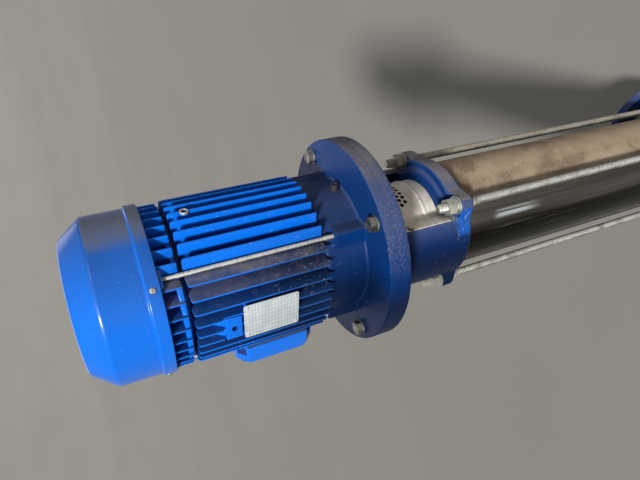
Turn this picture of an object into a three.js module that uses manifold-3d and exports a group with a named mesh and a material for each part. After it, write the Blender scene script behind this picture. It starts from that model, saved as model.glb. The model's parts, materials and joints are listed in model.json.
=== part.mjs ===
// A vertical inline multistage centrifugal pump, driven by a flanged and finned electric motor.
// Units are millimetres and +Z is up. The origin is the centre of the foot's underside, on the
// shaft axis. The ports lie along X and the windows to the coupling face -Y and +Y. The tie
// rods, the flange bolts and the motor's through bolts stand on the diagonals.

import * as THREE from 'three';
import { mergeVertices } from 'three/addons/utils/BufferGeometryUtils.js';
import Module from 'manifold-3d';

const wasm = await Module();
wasm.setup();

// Fits and facets
const seatGap = 0.3;
const weldDistance = 1e-3;
const bigFacets = 48;
const envelopeFacets = 64;
const midFacets = 32;
const smallFacets = 16;
const hexSides = 6;
const diagonals = [225, 315, 45, 135];
const fastenerSides = [-1, 1];

// Foot and base
const foot = { halfX: 100, halfY: 128, corner: 22, thick: 22, seatRadius: 92, seatTop: 36 };
const footHole = { x: 65, y: 107.5, radius: 7 };
const rodBoss = { radius: 17, top: 46, threadDepth: 26 };
const base = { radius: 88, top: 150, spigotTop: 160, portHeight: 90, portRadius: 36 };
const port = { face: 150, bore: 25, boreEnd: 40, collarRadius: 46, collarThick: 6 };
const portFlange = { radius: 82.5, thick: 18, boltCircle: 125, holeRadius: 9 };
const plug = { radius: 11, hexFlats: 24, height: 60, reach: 14 };

// Sleeve and tie rods
const sleeve = { radius: 84, wall: 2.5, beadHeight: 188, beadRise: 2, beadWidth: 7 };
const tieRod = { circle: 98, radius: 7, shank: 6, lowThreadTop: 56, highThreadLow: -182, tip: -119 };
const tieNut = { flats: 22, height: 12.8, washerRadius: 14, washerThick: 5.5 };

// Pump head, measured down from the motor flange's front face
const flangeFace = 935;
const flangeRadius = 150;
const motorFlange = { thick: 15 };
const head = { flangeBottom: -31, floorTop: -140, floorBottom: -165, shaftHole: 12, ring: 84 };
const column = { radius: 96, half: 52, cavity: 84, flangeHole: 62, bottom: -172 };
const headFoot = { half: 82, corner: 9, seat: -151, bottom: -172, spot: 17, collar: 95, collarTop: -146 };
const guard = { radius: 66, wall: 1, nearEdge: 220, farEdge: 325, lipStart: 65.5, lipEnd: 79.5 };
const guardBead = { height: -122, halfWidth: 3, rise: 1.5, facets: 64 };

// Shafts, coupling and seal
const motorShaft = { radius: 19, end: -95, fanRadius: 14, fanEnd: 300, shoulder: 262 };
const pumpShaft = { radius: 8, top: -97 };
const coupling = { radius: 34, top: -50, bottom: -124, splitGap: 1.6 };
const seal = { radius: 23, top: -126, collarRadius: 15, collarTop: -124.3 };

// Motor, measured up from the flange's front face
const shield = { barrel: 94, top: 60, blockCorner: 76.8, blockTop: 46 };
const frame = { core: 82, reach: 108.5, top: 237, endRound: 6, ringRadius: 96, ringLow: 225 };
const fin = { thick: 3, pitch: 16, count: 9, root: 55 };
const fanShield = { finStart: 244.4, finReach: 106.5, top: 272, ribTop: 248, ribRadius: 96 };
const shieldLug = { low: 262, high: 276, reach: 108.3, half: 11 };
const cowl = { rim: 266, bandTop: 281, bandRadius: 111.5, radius: 108.5, cone: 333, top: 362 };
const cowlEnd = { radius: 85.5, wall: 2, hub: 20, slot: 9, land: 5, sectors: 6, ribHalf: 3.5 };
const throughBolt = { circle: 100, radius: 3 };
const flangeBolt = { circle: 132.5, radius: 6, flats: 18.5, headHeight: 8 };
const fan = { hub: 24, reach: 96, low: 280, high: 316, discThick: 3, blades: 9, bladeThick: 3 };
const plate = { low: 108.5, high: 180.2, yLow: -29.5, yHigh: 24.5, seat: 106, thick: 1.2 };
const hoistPad = { low: 182, high: 203, yLow: -15.5, yHigh: 20.5, face: 106 };
const hoistHole = { y: 3.5, height: 191.8, radius: 3.5 };
const boss = { x: 0, height: 215.8, radius: 6, reach: 106, hole: 3 };
const boxSeat = { half: 45, face: 104, clearance: 1 };
const terminalBox = { half: 60, centre: 118, corner: 15, lidStart: 132, end: 140, lidInset: 3 };
const gland = { radius: 14, flats: 27, neck: 7, hexEnd: 17, length: 30, capRadius: 12, y: 118 };

const colours = {
  motorBlue: { color: 0x1263d8, roughness: 0.42, metalness: 0 },
  castBlue: { color: 0x27479c, roughness: 0.5, metalness: 0 },
  zinc: { color: 0xb9bcb4, roughness: 0.4, metalness: 0.9 },
  stainless: { color: 0xb4aea4, roughness: 0.28, metalness: 1 },
  shaftSteel: { color: 0x9a9a98, roughness: 0.35, metalness: 1 },
  alloyPlate: { color: 0xc9cccf, roughness: 0.35, metalness: 0.8 },
  darkPlastic: { color: 0x1c1d1f, roughness: 0.6, metalness: 0 },
};

// A closed surface becomes a solid once its doubled vertices and empty triangles are gone.
function solidOf(geometry) {
  const bare = geometry.clone();
  bare.deleteAttribute('normal');
  bare.deleteAttribute('uv');
  const welded = mergeVertices(bare, weldDistance);
  const corners = welded.index.array;
  const kept = [];
  for (let i = 0; i < corners.length; i += 3) {
    const [a, b, c] = corners.slice(i, i + 3);
    if (a !== b && b !== c && c !== a) {
      kept.push(a, b, c);
    }
  }
  const vertProperties = new Float32Array(welded.attributes.position.array);
  const triVerts = new Uint32Array(kept);
  return new wasm.Manifold(new wasm.Mesh({ numProp: 3, vertProperties, triVerts }));
}

function join(...geometries) {
  return geometries.map(solidOf).reduce((whole, piece) => whole.add(piece));
}

function cut(solid, ...geometries) {
  return geometries.reduce((rest, tool) => rest.subtract(solidOf(tool)), solid);
}

function geometryOf(solid) {
  const { numProp, vertProperties, triVerts } = solid.getMesh();
  const geometry = new THREE.BufferGeometry();
  geometry.setAttribute('position', new THREE.BufferAttribute(vertProperties, numProp));
  geometry.setIndex(new THREE.BufferAttribute(triVerts, 1));
  geometry.computeVertexNormals();
  return geometry;
}

function named(name, shape, finish) {
  const geometry = shape.isBufferGeometry ? shape : geometryOf(shape);
  const mesh = new THREE.Mesh(geometry, new THREE.MeshStandardMaterial(finish));
  mesh.name = name;
  return mesh;
}

// A profile of [radius, height] points, counter-clockwise, is turned round the Z axis.
function turned(profile, facets = bigFacets) {
  const points = profile.map(([radius, height]) => new THREE.Vector2(radius, height));
  const onAxis = profile[0][0] === 0 && profile[profile.length - 1][0] === 0;
  if (!onAxis) {
    points.push(points[0].clone());
  }
  return new THREE.LatheGeometry(points, facets).rotateX(Math.PI / 2);
}

function box([x0, x1], [y0, y1], [z0, z1]) {
  const geometry = new THREE.BoxGeometry(Math.abs(x1 - x0), Math.abs(y1 - y0), z1 - z0);
  return geometry.translate((x0 + x1) / 2, (y0 + y1) / 2, (z0 + z1) / 2);
}

function post(radius, [low, high], x = 0, y = 0, facets = smallFacets) {
  const geometry = new THREE.CylinderGeometry(radius, radius, high - low, facets);
  return geometry.rotateX(Math.PI / 2).translate(x, y, (low + high) / 2);
}

function barX(radius, [x0, x1], y, z, facets = smallFacets) {
  const geometry = new THREE.CylinderGeometry(radius, radius, Math.abs(x1 - x0), facets);
  return geometry.rotateZ(Math.PI / 2).translate((x0 + x1) / 2, y, z);
}

function barY(radius, [y0, y1], x, z, facets = smallFacets) {
  const geometry = new THREE.CylinderGeometry(radius, radius, Math.abs(y1 - y0), facets);
  return geometry.translate(x, (y0 + y1) / 2, z);
}

function hexRadius(flats) {
  return flats / 2 / Math.cos(Math.PI / hexSides);
}

function onCircle(radius, degrees) {
  const angle = THREE.MathUtils.degToRad(degrees);
  return [radius * Math.cos(angle), radius * Math.sin(angle)];
}

function turnedTo(geometry, degrees) {
  return geometry.rotateZ(THREE.MathUtils.degToRad(degrees));
}

function roundedPlate(halfX, halfY, corner, [low, high]) {
  const shape = new THREE.Shape();
  shape.moveTo(-halfX + corner, -halfY);
  shape.lineTo(halfX - corner, -halfY);
  shape.absarc(halfX - corner, -halfY + corner, corner, -Math.PI / 2, 0);
  shape.lineTo(halfX, halfY - corner);
  shape.absarc(halfX - corner, halfY - corner, corner, 0, Math.PI / 2);
  shape.lineTo(-halfX + corner, halfY);
  shape.absarc(-halfX + corner, halfY - corner, corner, Math.PI / 2, Math.PI);
  shape.lineTo(-halfX, -halfY + corner);
  shape.absarc(-halfX + corner, -halfY + corner, corner, Math.PI, Math.PI * 1.5);
  const options = { depth: high - low, bevelEnabled: false, curveSegments: 6 };
  return new THREE.ExtrudeGeometry(shape, options).translate(0, 0, low);
}

// Square slab with cut corners, centred at a height on the shaft axis and facing +Y
function cutCornerSlab(half, corner, [near, far], height) {
  const inner = half - corner;
  const outline = [
    [half, inner], [inner, half], [-inner, half], [-half, inner],
    [-half, -inner], [-inner, -half], [inner, -half], [half, -inner],
  ];
  const shape = new THREE.Shape(outline.map(([x, y]) => new THREE.Vector2(x, y)));
  const options = { depth: far - near, bevelEnabled: false };
  return new THREE.ExtrudeGeometry(shape, options).rotateX(-Math.PI / 2).translate(0, near, height);
}

function evenPlaces(count, pitch) {
  return Array.from({ length: count }, (_, i) => (i - (count - 1) / 2) * pitch);
}

// Foot plate with four rod bosses and a raised seat for the base
function makeFootPlate() {
  let solid = join(
    roundedPlate(foot.halfX, foot.halfY, foot.corner, [0, foot.thick]),
    post(foot.seatRadius, [0, foot.seatTop], 0, 0, bigFacets),
    ...diagonals.map((angle) => post(rodBoss.radius, [0, rodBoss.top], ...onCircle(tieRod.circle, angle))),
  );
  for (const angle of diagonals) {
    const place = onCircle(tieRod.circle, angle);
    const threads = [rodBoss.top - rodBoss.threadDepth, rodBoss.top + 1];
    solid = cut(solid, post(tieRod.radius + seatGap, threads, ...place));
  }
  for (const x of [-footHole.x, footHole.x]) {
    for (const y of [-footHole.y, footHole.y]) {
      solid = cut(solid, post(footHole.radius, [-1, foot.thick + 1], x, y));
    }
  }
  const clearance = post(base.radius + seatGap, [foot.seatTop, base.top], 0, 0, bigFacets);
  return named('foot_plate', cut(solid, clearance), colours.castBlue);
}

// Stainless base with the two ports in line
function makeBase() {
  const pocket = sleeve.radius - sleeve.wall - seatGap;
  const body = turned([
    [0, foot.seatTop],
    [base.radius, foot.seatTop],
    [base.radius, base.top],
    [pocket, base.top],
    [pocket, base.spigotTop],
    [0, base.spigotTop],
  ]);
  let solid = solidOf(body);
  for (const side of fastenerSides) {
    const collar = [side * (port.face - port.collarThick), side * port.face];
    const pipe = barX(base.portRadius, [0, side * port.face], 0, base.portHeight, midFacets);
    const face = barX(port.collarRadius, collar, 0, base.portHeight, midFacets);
    solid = solid.add(solidOf(pipe)).add(solidOf(face));
  }
  for (const side of fastenerSides) {
    const way = [side * port.boreEnd, side * (port.face + 1)];
    solid = cut(solid, barX(port.bore, way, 0, base.portHeight, midFacets));
  }
  return named('pump_base', solid, colours.stainless);
}

// Loose round flange behind each port's collar
function makePortFlange(name, side) {
  const outer = side * (port.face - port.collarThick);
  const inner = outer - side * portFlange.thick;
  let solid = solidOf(barX(portFlange.radius, [inner, outer], 0, base.portHeight, bigFacets));
  const through = [inner - side, outer + side];
  solid = cut(solid, barX(base.portRadius + seatGap, through, 0, base.portHeight, midFacets));
  for (const angle of diagonals) {
    const [y, z] = onCircle(portFlange.boltCircle / 2, angle);
    solid = cut(solid, barX(portFlange.holeRadius, through, y, base.portHeight + z));
  }
  return named(name, solid, colours.castBlue);
}

// Hexagon plug screwed in across the Y axis
function makePlug(name, side, start, height) {
  const tip = start + plug.reach;
  const neck = barY(plug.radius, [side * start, side * (start + plug.reach / 2)], 0, height);
  const hex = barY(hexRadius(plug.hexFlats), [side * (start + 3), side * tip], 0, height, hexSides);
  return named(name, join(neck, hex), colours.zinc);
}

function makeSleeve() {
  const top = flangeFace + head.floorBottom;
  const inner = sleeve.radius - sleeve.wall;
  const rise = sleeve.radius + sleeve.beadRise;
  const shape = turned([
    [inner, base.top],
    [sleeve.radius, base.top],
    [sleeve.radius, sleeve.beadHeight - sleeve.beadWidth / 2],
    [rise, sleeve.beadHeight],
    [sleeve.radius, sleeve.beadHeight + sleeve.beadWidth / 2],
    [sleeve.radius, top],
    [inner, top],
  ]);
  return named('outer_sleeve', shape, colours.stainless);
}

function makeTieRod(name, angle) {
  const bottom = rodBoss.top - rodBoss.threadDepth;
  const tip = flangeFace + tieRod.tip;
  const place = onCircle(tieRod.circle, angle);
  const solid = join(
    post(tieRod.shank, [bottom, tip], ...place),
    post(tieRod.radius, [bottom, tieRod.lowThreadTop], ...place),
    post(tieRod.radius, [flangeFace + tieRod.highThreadLow, tip], ...place),
  );
  return named(name, solid, colours.zinc);
}

function makeTieNut(name, angle) {
  const place = onCircle(tieRod.circle, angle);
  const seat = flangeFace + headFoot.seat;
  const nutLow = seat + tieNut.washerThick;
  const nutHigh = nutLow + tieNut.height;
  const solid = join(
    post(tieNut.washerRadius, [seat, nutLow + 0.1], ...place),
    post(hexRadius(tieNut.flats), [nutLow, nutHigh], ...place, hexSides),
  );
  const hole = post(tieRod.radius + seatGap, [seat - 1, nutHigh + 1], ...place);
  return named(name, cut(solid, hole), colours.zinc);
}

// Pump head, one casting: motor flange, two curved columns, floor, and a round foot with four
// lugs for the rods
function makePumpHead() {
  const flangeTop = -motorFlange.thick;
  let solid = solidOf(post(column.radius, [column.bottom, head.flangeBottom + 1], 0, 0, bigFacets));
  for (const side of fastenerSides) {
    const away = [side * column.half, side * flangeRadius];
    solid = cut(solid, box([-flangeRadius, flangeRadius], away, [column.bottom - 1, head.flangeBottom + 2]));
  }
  solid = cut(solid, post(column.cavity, [head.floorTop, head.flangeBottom + 2], 0, 0, bigFacets));
  const others = [
    post(flangeRadius, [head.flangeBottom, flangeTop], 0, 0, bigFacets),
    roundedPlate(headFoot.half, headFoot.half, headFoot.corner, [headFoot.bottom, headFoot.seat]),
    post(headFoot.collar, [headFoot.bottom, headFoot.collarTop], 0, 0, bigFacets),
    post(head.ring, [headFoot.bottom, head.floorTop], 0, 0, bigFacets),
  ];
  for (const piece of others) {
    solid = solid.add(solidOf(piece));
  }
  for (const angle of diagonals) {
    const place = onCircle(tieRod.circle, angle);
    const rodHole = [headFoot.bottom - 1, headFoot.seat + 1];
    const boltHole = [head.flangeBottom - 1, flangeTop + 1];
    solid = cut(
      solid,
      post(headFoot.spot, [headFoot.seat, head.floorTop + 1], ...place, midFacets),
      post(tieRod.radius + seatGap, rodHole, ...place),
      post(flangeBolt.radius + seatGap, boltHole, ...onCircle(flangeBolt.circle, angle)),
    );
  }
  return named('pump_head', cut(
    solid,
    post(column.flangeHole, [head.flangeBottom - 1, flangeTop + 1], 0, 0, bigFacets),
    post(head.shaftHole, [head.floorBottom - 1, head.floorTop + 1]),
    post(sleeve.radius + seatGap, [headFoot.bottom - 1, head.floorBottom], 0, 0, bigFacets),
  ), colours.castBlue);
}

// A curved sheet closes one window, with a lip on a column's flank and a raised bead. It is drawn
// on the -Y side and turned to its own.
function makeGuard(name, turn) {
  const low = head.floorTop + seatGap;
  const high = head.flangeBottom - seatGap;
  const inner = guard.radius - guard.wall;
  const near = THREE.MathUtils.degToRad(guard.nearEdge);
  const far = THREE.MathUtils.degToRad(guard.farEdge);
  const sheet = new THREE.Shape();
  sheet.moveTo(-guard.lipEnd, -column.half);
  sheet.lineTo(-guard.lipEnd, -column.half - guard.wall);
  sheet.lineTo(-guard.lipStart, -column.half - guard.wall);
  sheet.absarc(0, 0, guard.radius, near, far);
  sheet.absarc(0, 0, inner, far, near, true);
  sheet.lineTo(-guard.lipStart, -column.half);
  const options = { depth: high - low, bevelEnabled: false, curveSegments: 16 };
  const solid = solidOf(new THREE.ExtrudeGeometry(sheet, options).translate(0, 0, low));
  const bead = turned([
    [inner + guard.wall / 2, guardBead.height - guardBead.halfWidth],
    [guard.radius, guardBead.height - guardBead.halfWidth],
    [guard.radius + guardBead.rise, guardBead.height],
    [guard.radius, guardBead.height + guardBead.halfWidth],
    [inner + guard.wall / 2, guardBead.height + guardBead.halfWidth],
  ], guardBead.facets);
  const halfWidth = -guard.radius * Math.cos(near) - guard.wall;
  const sector = box([-halfWidth, halfWidth], [0, -flangeRadius], [low, high]);
  const whole = solid.add(solidOf(bead).intersect(solidOf(sector)));
  return named(name, turnedTo(geometryOf(whole), turn), colours.stainless);
}

// The coupling is a sleeve split lengthwise into two halves, bored for both shafts.
function makeCouplingHalf(name, side) {
  const bore = motorShaft.radius + seatGap;
  const solid = cut(
    solidOf(post(coupling.radius, [coupling.bottom, coupling.top], 0, 0, midFacets)),
    post(bore, [motorShaft.end - 1, coupling.top + 1], 0, 0, midFacets),
    post(pumpShaft.radius + seatGap, [coupling.bottom - 1, motorShaft.end]),
    box([-coupling.radius, coupling.radius], [-side * coupling.radius, side * coupling.splitGap / 2],
      [coupling.bottom - 1, coupling.top + 1]),
  );
  return named(name, solid, colours.zinc);
}

function makePumpShaft() {
  const shape = post(pumpShaft.radius, [head.floorBottom, pumpShaft.top]);
  return named('pump_shaft', shape, colours.shaftSteel);
}

function makeShaftSeal() {
  const bore = pumpShaft.radius + seatGap;
  const shape = turned([
    [bore, head.floorTop],
    [seal.radius, head.floorTop],
    [seal.radius, seal.top - 4],
    [seal.collarRadius, seal.top - 4],
    [seal.collarRadius, seal.collarTop],
    [bore, seal.collarTop],
  ], smallFacets);
  return named('shaft_seal', shape, colours.shaftSteel);
}

function makeFlangeBolt(name, angle) {
  const place = onCircle(flangeBolt.circle, angle);
  const solid = join(
    post(flangeBolt.radius, [head.flangeBottom + 1, 0.1], ...place),
    post(hexRadius(flangeBolt.flats), [0, flangeBolt.headHeight], ...place, hexSides),
  );
  return named(name, solid, colours.zinc);
}

// Drive-end shield with the round motor flange and four corner blocks
function makeDriveShield() {
  const bore = motorShaft.radius + seatGap;
  let solid = solidOf(turned([
    [bore, -motorFlange.thick],
    [flangeRadius, -motorFlange.thick],
    [flangeRadius, 0],
    [shield.barrel, 0],
    [shield.barrel, shield.top],
    [bore, shield.top],
  ]));
  const blockSpan = [-shield.blockCorner, shield.blockCorner];
  solid = solid.add(solidOf(box(blockSpan, blockSpan, [-1, shield.blockTop])));
  solid = cut(solid, post(bore, [-motorFlange.thick - 1, shield.top + 1]));
  for (const angle of diagonals) {
    const hole = [-motorFlange.thick - 1, 1];
    solid = cut(solid, post(flangeBolt.radius + seatGap, hole, ...onCircle(flangeBolt.circle, angle)));
  }
  return named('drive_end_shield', solid, colours.castBlue);
}

// Cooling fins run along the shaft: upright on the Y sides and level on the X sides.
function finPack(reach, [low, high]) {
  const half = fin.thick / 2;
  const edge = fin.pitch * (fin.count - 1) / 2 + half;
  const corner = box([-edge, edge], [-edge, edge], [low, high]);
  const pieces = [post(frame.core, [low, high], 0, 0, bigFacets), corner];
  for (const place of evenPlaces(fin.count, fin.pitch)) {
    const across = [place - half, place + half];
    pieces.push(box(across, [-reach, -fin.root], [low, high]));
    pieces.push(box(across, [fin.root, reach], [low, high]));
    pieces.push(box([-reach, -fin.root], across, [low, high]));
    pieces.push(box([fin.root, reach], across, [low, high]));
  }
  return join(...pieces);
}

function roundedEnvelope(radius, low, high, round) {
  const profile = [[0, low], [radius, low]];
  const steps = 3;
  for (let i = 0; i <= steps; i += 1) {
    const angle = (i / steps) * Math.PI / 2;
    profile.push([radius - round * (1 - Math.cos(angle)), high - round * (1 - Math.sin(angle))]);
  }
  profile.push([0, high]);
  return turned(profile, envelopeFacets);
}

function makeMotorFrame() {
  let solid = finPack(frame.reach, [shield.top, frame.top]);
  solid = solid.intersect(solidOf(roundedEnvelope(frame.reach, shield.top, frame.top, frame.endRound)));
  const plateRoom = box(
    [-frame.reach - 1, -plate.seat],
    [plate.yLow - 0.8, plate.yHigh + 0.8],
    [plate.low - 1, plate.high + 1],
  );
  const padRoom = box(
    [-frame.reach - 1, -hoistPad.face],
    [hoistPad.yLow - 2.6, hoistPad.yHigh + 2.6],
    [hoistPad.low - 1.4, hoistPad.high + 1.4],
  );
  const bossRoom = barY(boss.radius + 0.6, [-frame.reach - 1, -boss.reach], boss.x, boss.height);
  const roomHalf = terminalBox.half + boxSeat.clearance;
  const boxRoom = box(
    [-roomHalf, roomHalf],
    [boxSeat.face, frame.reach + 1],
    [terminalBox.centre - roomHalf, terminalBox.centre + roomHalf],
  );
  solid = cut(solid, plateRoom, padRoom, bossRoom, boxRoom);
  const plateSeat = box([-plate.seat, -fin.root], [plate.yLow + 4, plate.yHigh - 4], [plate.low + 4, plate.high - 4]);
  const pad = box([-hoistPad.face, -fin.root], [hoistPad.yLow, hoistPad.yHigh], [hoistPad.low, hoistPad.high]);
  const threadBoss = barY(boss.radius, [-boss.reach, -fin.root], boss.x, boss.height);
  const seat = cutCornerSlab(boxSeat.half, terminalBox.corner, [fin.root, boxSeat.face], terminalBox.centre);
  const ring = post(frame.ringRadius, [frame.ringLow, frame.top], 0, 0, bigFacets);
  for (const piece of [plateSeat, pad, threadBoss, seat, ring]) {
    solid = solid.add(solidOf(piece));
  }
  return named('motor_frame', cut(
    solid,
    barX(hoistHole.radius, [-hoistPad.face - 1, -frame.core - 8], hoistHole.y, hoistHole.height),
    barY(boss.hole, [-boss.reach - 4, -frame.core - 8], boss.x, boss.height),
    post(motorShaft.radius + seatGap, [shield.top - 1, frame.top + 1]),
  ), colours.motorBlue);
}

function makeFanShield() {
  const bore = motorShaft.radius + seatGap;
  let solid = finPack(fanShield.finReach, [fanShield.finStart, fanShield.top]);
  const envelope = post(fanShield.finReach, [fanShield.finStart, fanShield.top], 0, 0, envelopeFacets);
  solid = solid.intersect(solidOf(envelope));
  const neck = post(frame.core, [frame.top, fanShield.finStart + 1], 0, 0, bigFacets);
  const rib = post(fanShield.ribRadius, [fanShield.finStart, fanShield.ribTop], 0, 0, bigFacets);
  solid = solid.add(solidOf(neck)).add(solidOf(rib));
  for (const angle of diagonals) {
    const lug = box([frame.core - 4, shieldLug.reach], [-shieldLug.half, shieldLug.half],
      [shieldLug.low, shieldLug.high]);
    solid = solid.add(solidOf(turnedTo(lug, angle)));
  }
  return named('fan_end_shield', cut(
    solid,
    post(bore, [frame.top - 1, motorShaft.shoulder + seatGap]),
    post(motorShaft.fanRadius + seatGap, [motorShaft.shoulder, shieldLug.high + 1]),
    post(frame.core - 12, [motorShaft.shoulder + 4, shieldLug.high + 1], 0, 0, midFacets),
  ), colours.motorBlue);
}

function makeMotorShaft() {
  const shape = turned([
    [0, motorShaft.end],
    [motorShaft.radius, motorShaft.end],
    [motorShaft.radius, motorShaft.shoulder],
    [motorShaft.fanRadius, motorShaft.shoulder],
    [motorShaft.fanRadius, motorShaft.fanEnd],
    [0, motorShaft.fanEnd],
  ], smallFacets);
  return named('motor_shaft', shape, colours.shaftSteel);
}

function makeThroughBolt(name, angle) {
  const span = [shield.blockTop, shieldLug.low];
  const place = onCircle(throughBolt.circle, angle);
  return named(name, post(throughBolt.radius, span, ...place, 12), colours.zinc);
}

function makeCoolingFan() {
  const pieces = [
    post(fan.hub, [fan.low, fan.high], 0, 0, midFacets),
    post(fan.reach, [fan.low, fan.low + fan.discThick], 0, 0, midFacets),
  ];
  for (let i = 0; i < fan.blades; i += 1) {
    const half = fan.bladeThick / 2;
    const blade = box([fan.hub - 2, fan.reach], [-half, half], [fan.low, fan.high - 6]);
    pieces.push(turnedTo(blade, i * 360 / fan.blades));
  }
  const bore = post(motorShaft.fanRadius + seatGap, [fan.low - 1, fan.high + 1]);
  return named('cooling_fan', cut(join(...pieces), bore), colours.darkPlastic);
}

// Thin cowl: a proud band at the rim, a short cone, and a flat end with rings of air slots
function makeFanCowl() {
  const wall = cowlEnd.wall;
  let solid = solidOf(turned([
    [0, cowl.top - wall],
    [cowlEnd.radius - wall / 2, cowl.top - wall],
    [cowl.radius - wall, cowl.cone - wall / 2],
    [cowl.radius - wall, cowl.bandTop + wall],
    [cowl.bandRadius - wall, cowl.bandTop - wall],
    [cowl.bandRadius - wall, cowl.rim],
    [cowl.bandRadius, cowl.rim],
    [cowl.bandRadius, cowl.bandTop],
    [cowl.radius, cowl.bandTop + wall],
    [cowl.radius, cowl.cone],
    [cowlEnd.radius, cowl.top],
    [0, cowl.top],
  ]));
  const ribs = [];
  for (let i = 0; i < cowlEnd.sectors; i += 1) {
    const rib = box([0, cowlEnd.radius], [-cowlEnd.ribHalf, cowlEnd.ribHalf], [cowl.top - 8, cowl.top + 2]);
    ribs.push(turnedTo(rib, (i + 0.5) * 360 / cowlEnd.sectors));
  }
  const ribCross = join(...ribs);
  const pitch = cowlEnd.slot + cowlEnd.land;
  for (let inner = cowlEnd.hub; inner + cowlEnd.slot < cowlEnd.radius - 8; inner += pitch) {
    const outer = inner + cowlEnd.slot;
    const ring = turned([
      [inner, cowl.top - wall - 1],
      [outer, cowl.top - wall - 1],
      [outer, cowl.top + 1],
      [inner, cowl.top + 1],
    ], 36);
    solid = solid.subtract(solidOf(ring).subtract(ribCross));
  }
  return named('fan_cowl', solid, colours.motorBlue);
}

function makeRatingPlate() {
  const shape = box([-plate.seat - plate.thick, -plate.seat], [plate.yLow, plate.yHigh], [plate.low, plate.high]);
  return named('rating_plate', shape, colours.alloyPlate);
}

// The terminal box stands on the +Y side, with its lid facing away from the motor.
function makeTerminalBox() {
  const depth = [boxSeat.face, terminalBox.lidStart];
  const shape = cutCornerSlab(terminalBox.half, terminalBox.corner, depth, terminalBox.centre);
  return named('terminal_box', shape, colours.motorBlue);
}

function makeTerminalLid() {
  const half = terminalBox.half - terminalBox.lidInset;
  const depth = [terminalBox.lidStart, terminalBox.end];
  const shape = cutCornerSlab(half, terminalBox.corner, depth, terminalBox.centre);
  return named('terminal_box_lid', shape, colours.motorBlue);
}

function makeCableGland() {
  const start = terminalBox.half;
  const neckEnd = start + gland.neck;
  const solid = join(
    barX(gland.radius, [start, neckEnd], gland.y, terminalBox.centre),
    barX(hexRadius(gland.flats), [neckEnd, start + gland.hexEnd], gland.y, terminalBox.centre, hexSides),
    barX(gland.capRadius, [neckEnd, start + gland.length], gland.y, terminalBox.centre),
  );
  return named('cable_gland', solid, colours.darkPlastic);
}

const pump = new THREE.Group();
pump.add(
  makeFootPlate(),
  makeBase(),
  makePortFlange('suction_flange', -1),
  makePortFlange('discharge_flange', 1),
  makePlug('drain_plug', -1, base.radius, plug.height),
  makeSleeve(),
);
diagonals.forEach((angle, i) => {
  pump.add(makeTieRod(`tie_rod_${i + 1}`, angle), makeTieNut(`tie_rod_nut_${i + 1}`, angle));
});

const upper = new THREE.Group();
upper.position.z = flangeFace;
upper.add(
  makePumpHead(),
  makeGuard('coupling_guard_front', 0),
  makeGuard('coupling_guard_back', 180),
  makeCouplingHalf('coupling_half_front', -1),
  makeCouplingHalf('coupling_half_back', 1),
  makePumpShaft(),
  makeShaftSeal(),
  makeDriveShield(),
  makeMotorFrame(),
  makeFanShield(),
  makeMotorShaft(),
  makeCoolingFan(),
  makeFanCowl(),
  makeRatingPlate(),
  makeTerminalBox(),
  makeTerminalLid(),
  makeCableGland(),
);
diagonals.forEach((angle, i) => {
  upper.add(makeFlangeBolt(`flange_bolt_${i + 1}`, angle), makeThroughBolt(`through_bolt_${i + 1}`, angle));
});
pump.add(upper);

export default pump;
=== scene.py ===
import json
from math import cos, pi, radians, sin, tan

import bmesh
import bpy
from mathutils import Matrix, Vector


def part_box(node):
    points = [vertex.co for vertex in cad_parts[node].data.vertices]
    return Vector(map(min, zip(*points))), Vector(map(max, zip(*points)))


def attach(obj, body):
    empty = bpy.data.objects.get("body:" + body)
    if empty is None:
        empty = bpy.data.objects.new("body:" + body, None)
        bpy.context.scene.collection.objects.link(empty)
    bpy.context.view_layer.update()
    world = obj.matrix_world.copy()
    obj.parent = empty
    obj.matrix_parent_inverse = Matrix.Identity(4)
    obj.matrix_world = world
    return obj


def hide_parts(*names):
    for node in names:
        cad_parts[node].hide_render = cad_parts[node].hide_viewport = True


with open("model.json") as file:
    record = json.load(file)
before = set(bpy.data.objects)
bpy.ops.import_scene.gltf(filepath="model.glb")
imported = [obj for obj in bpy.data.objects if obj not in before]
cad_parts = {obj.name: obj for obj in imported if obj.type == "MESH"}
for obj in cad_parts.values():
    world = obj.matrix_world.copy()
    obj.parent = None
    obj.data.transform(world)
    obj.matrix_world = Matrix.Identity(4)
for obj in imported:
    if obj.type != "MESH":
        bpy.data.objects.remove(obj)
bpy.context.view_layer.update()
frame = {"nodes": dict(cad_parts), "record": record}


# A dictionary of settings, whose values are also read by name
class Settings(dict):
    __getattr__ = dict.__getitem__


# Shapes are drawn in millimetres round the shaft. Heights of the upper pieces are counted from
# the front face of the motor flange, and those of the lower pieces from the floor.
mm = 0.001
face = round(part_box("motor_frame")[0].z / mm - 60, 1)
diagonals = [225, 315, 45, 135]
scene = bpy.context.scene


def added(name, data):
    thing = bpy.data.objects.new(name, data)
    scene.collection.objects.link(thing)
    return thing


# Camera, at the photograph's viewing angle. Its spot is counted from the flange face.
camera = Settings(
    spot=(-525.7, -462.8, 303.1), forward=(0.7037, 0.6072, -0.3687), up=(0.5642, -0.7932, -0.229),
    lens=28.73)


def placeCamera():
    forward = Vector(camera.forward).normalized()
    right = forward.cross(Vector(camera.up)).normalized()
    up = right.cross(forward)
    data = bpy.data.cameras.new("viewCamera")
    data.lens = camera.lens
    data.sensor_width = 36
    data.clip_start = 0.01
    data.clip_end = 60
    scene.camera = added("viewCamera", data)
    spot = (Vector(camera.spot) + Vector((0, 0, face))) * mm
    turn = Matrix((right, up, -forward)).transposed().to_4x4()
    scene.camera.matrix_world = Matrix.Translation(spot) @ turn


placeCamera()
print("camera placed")


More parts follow.
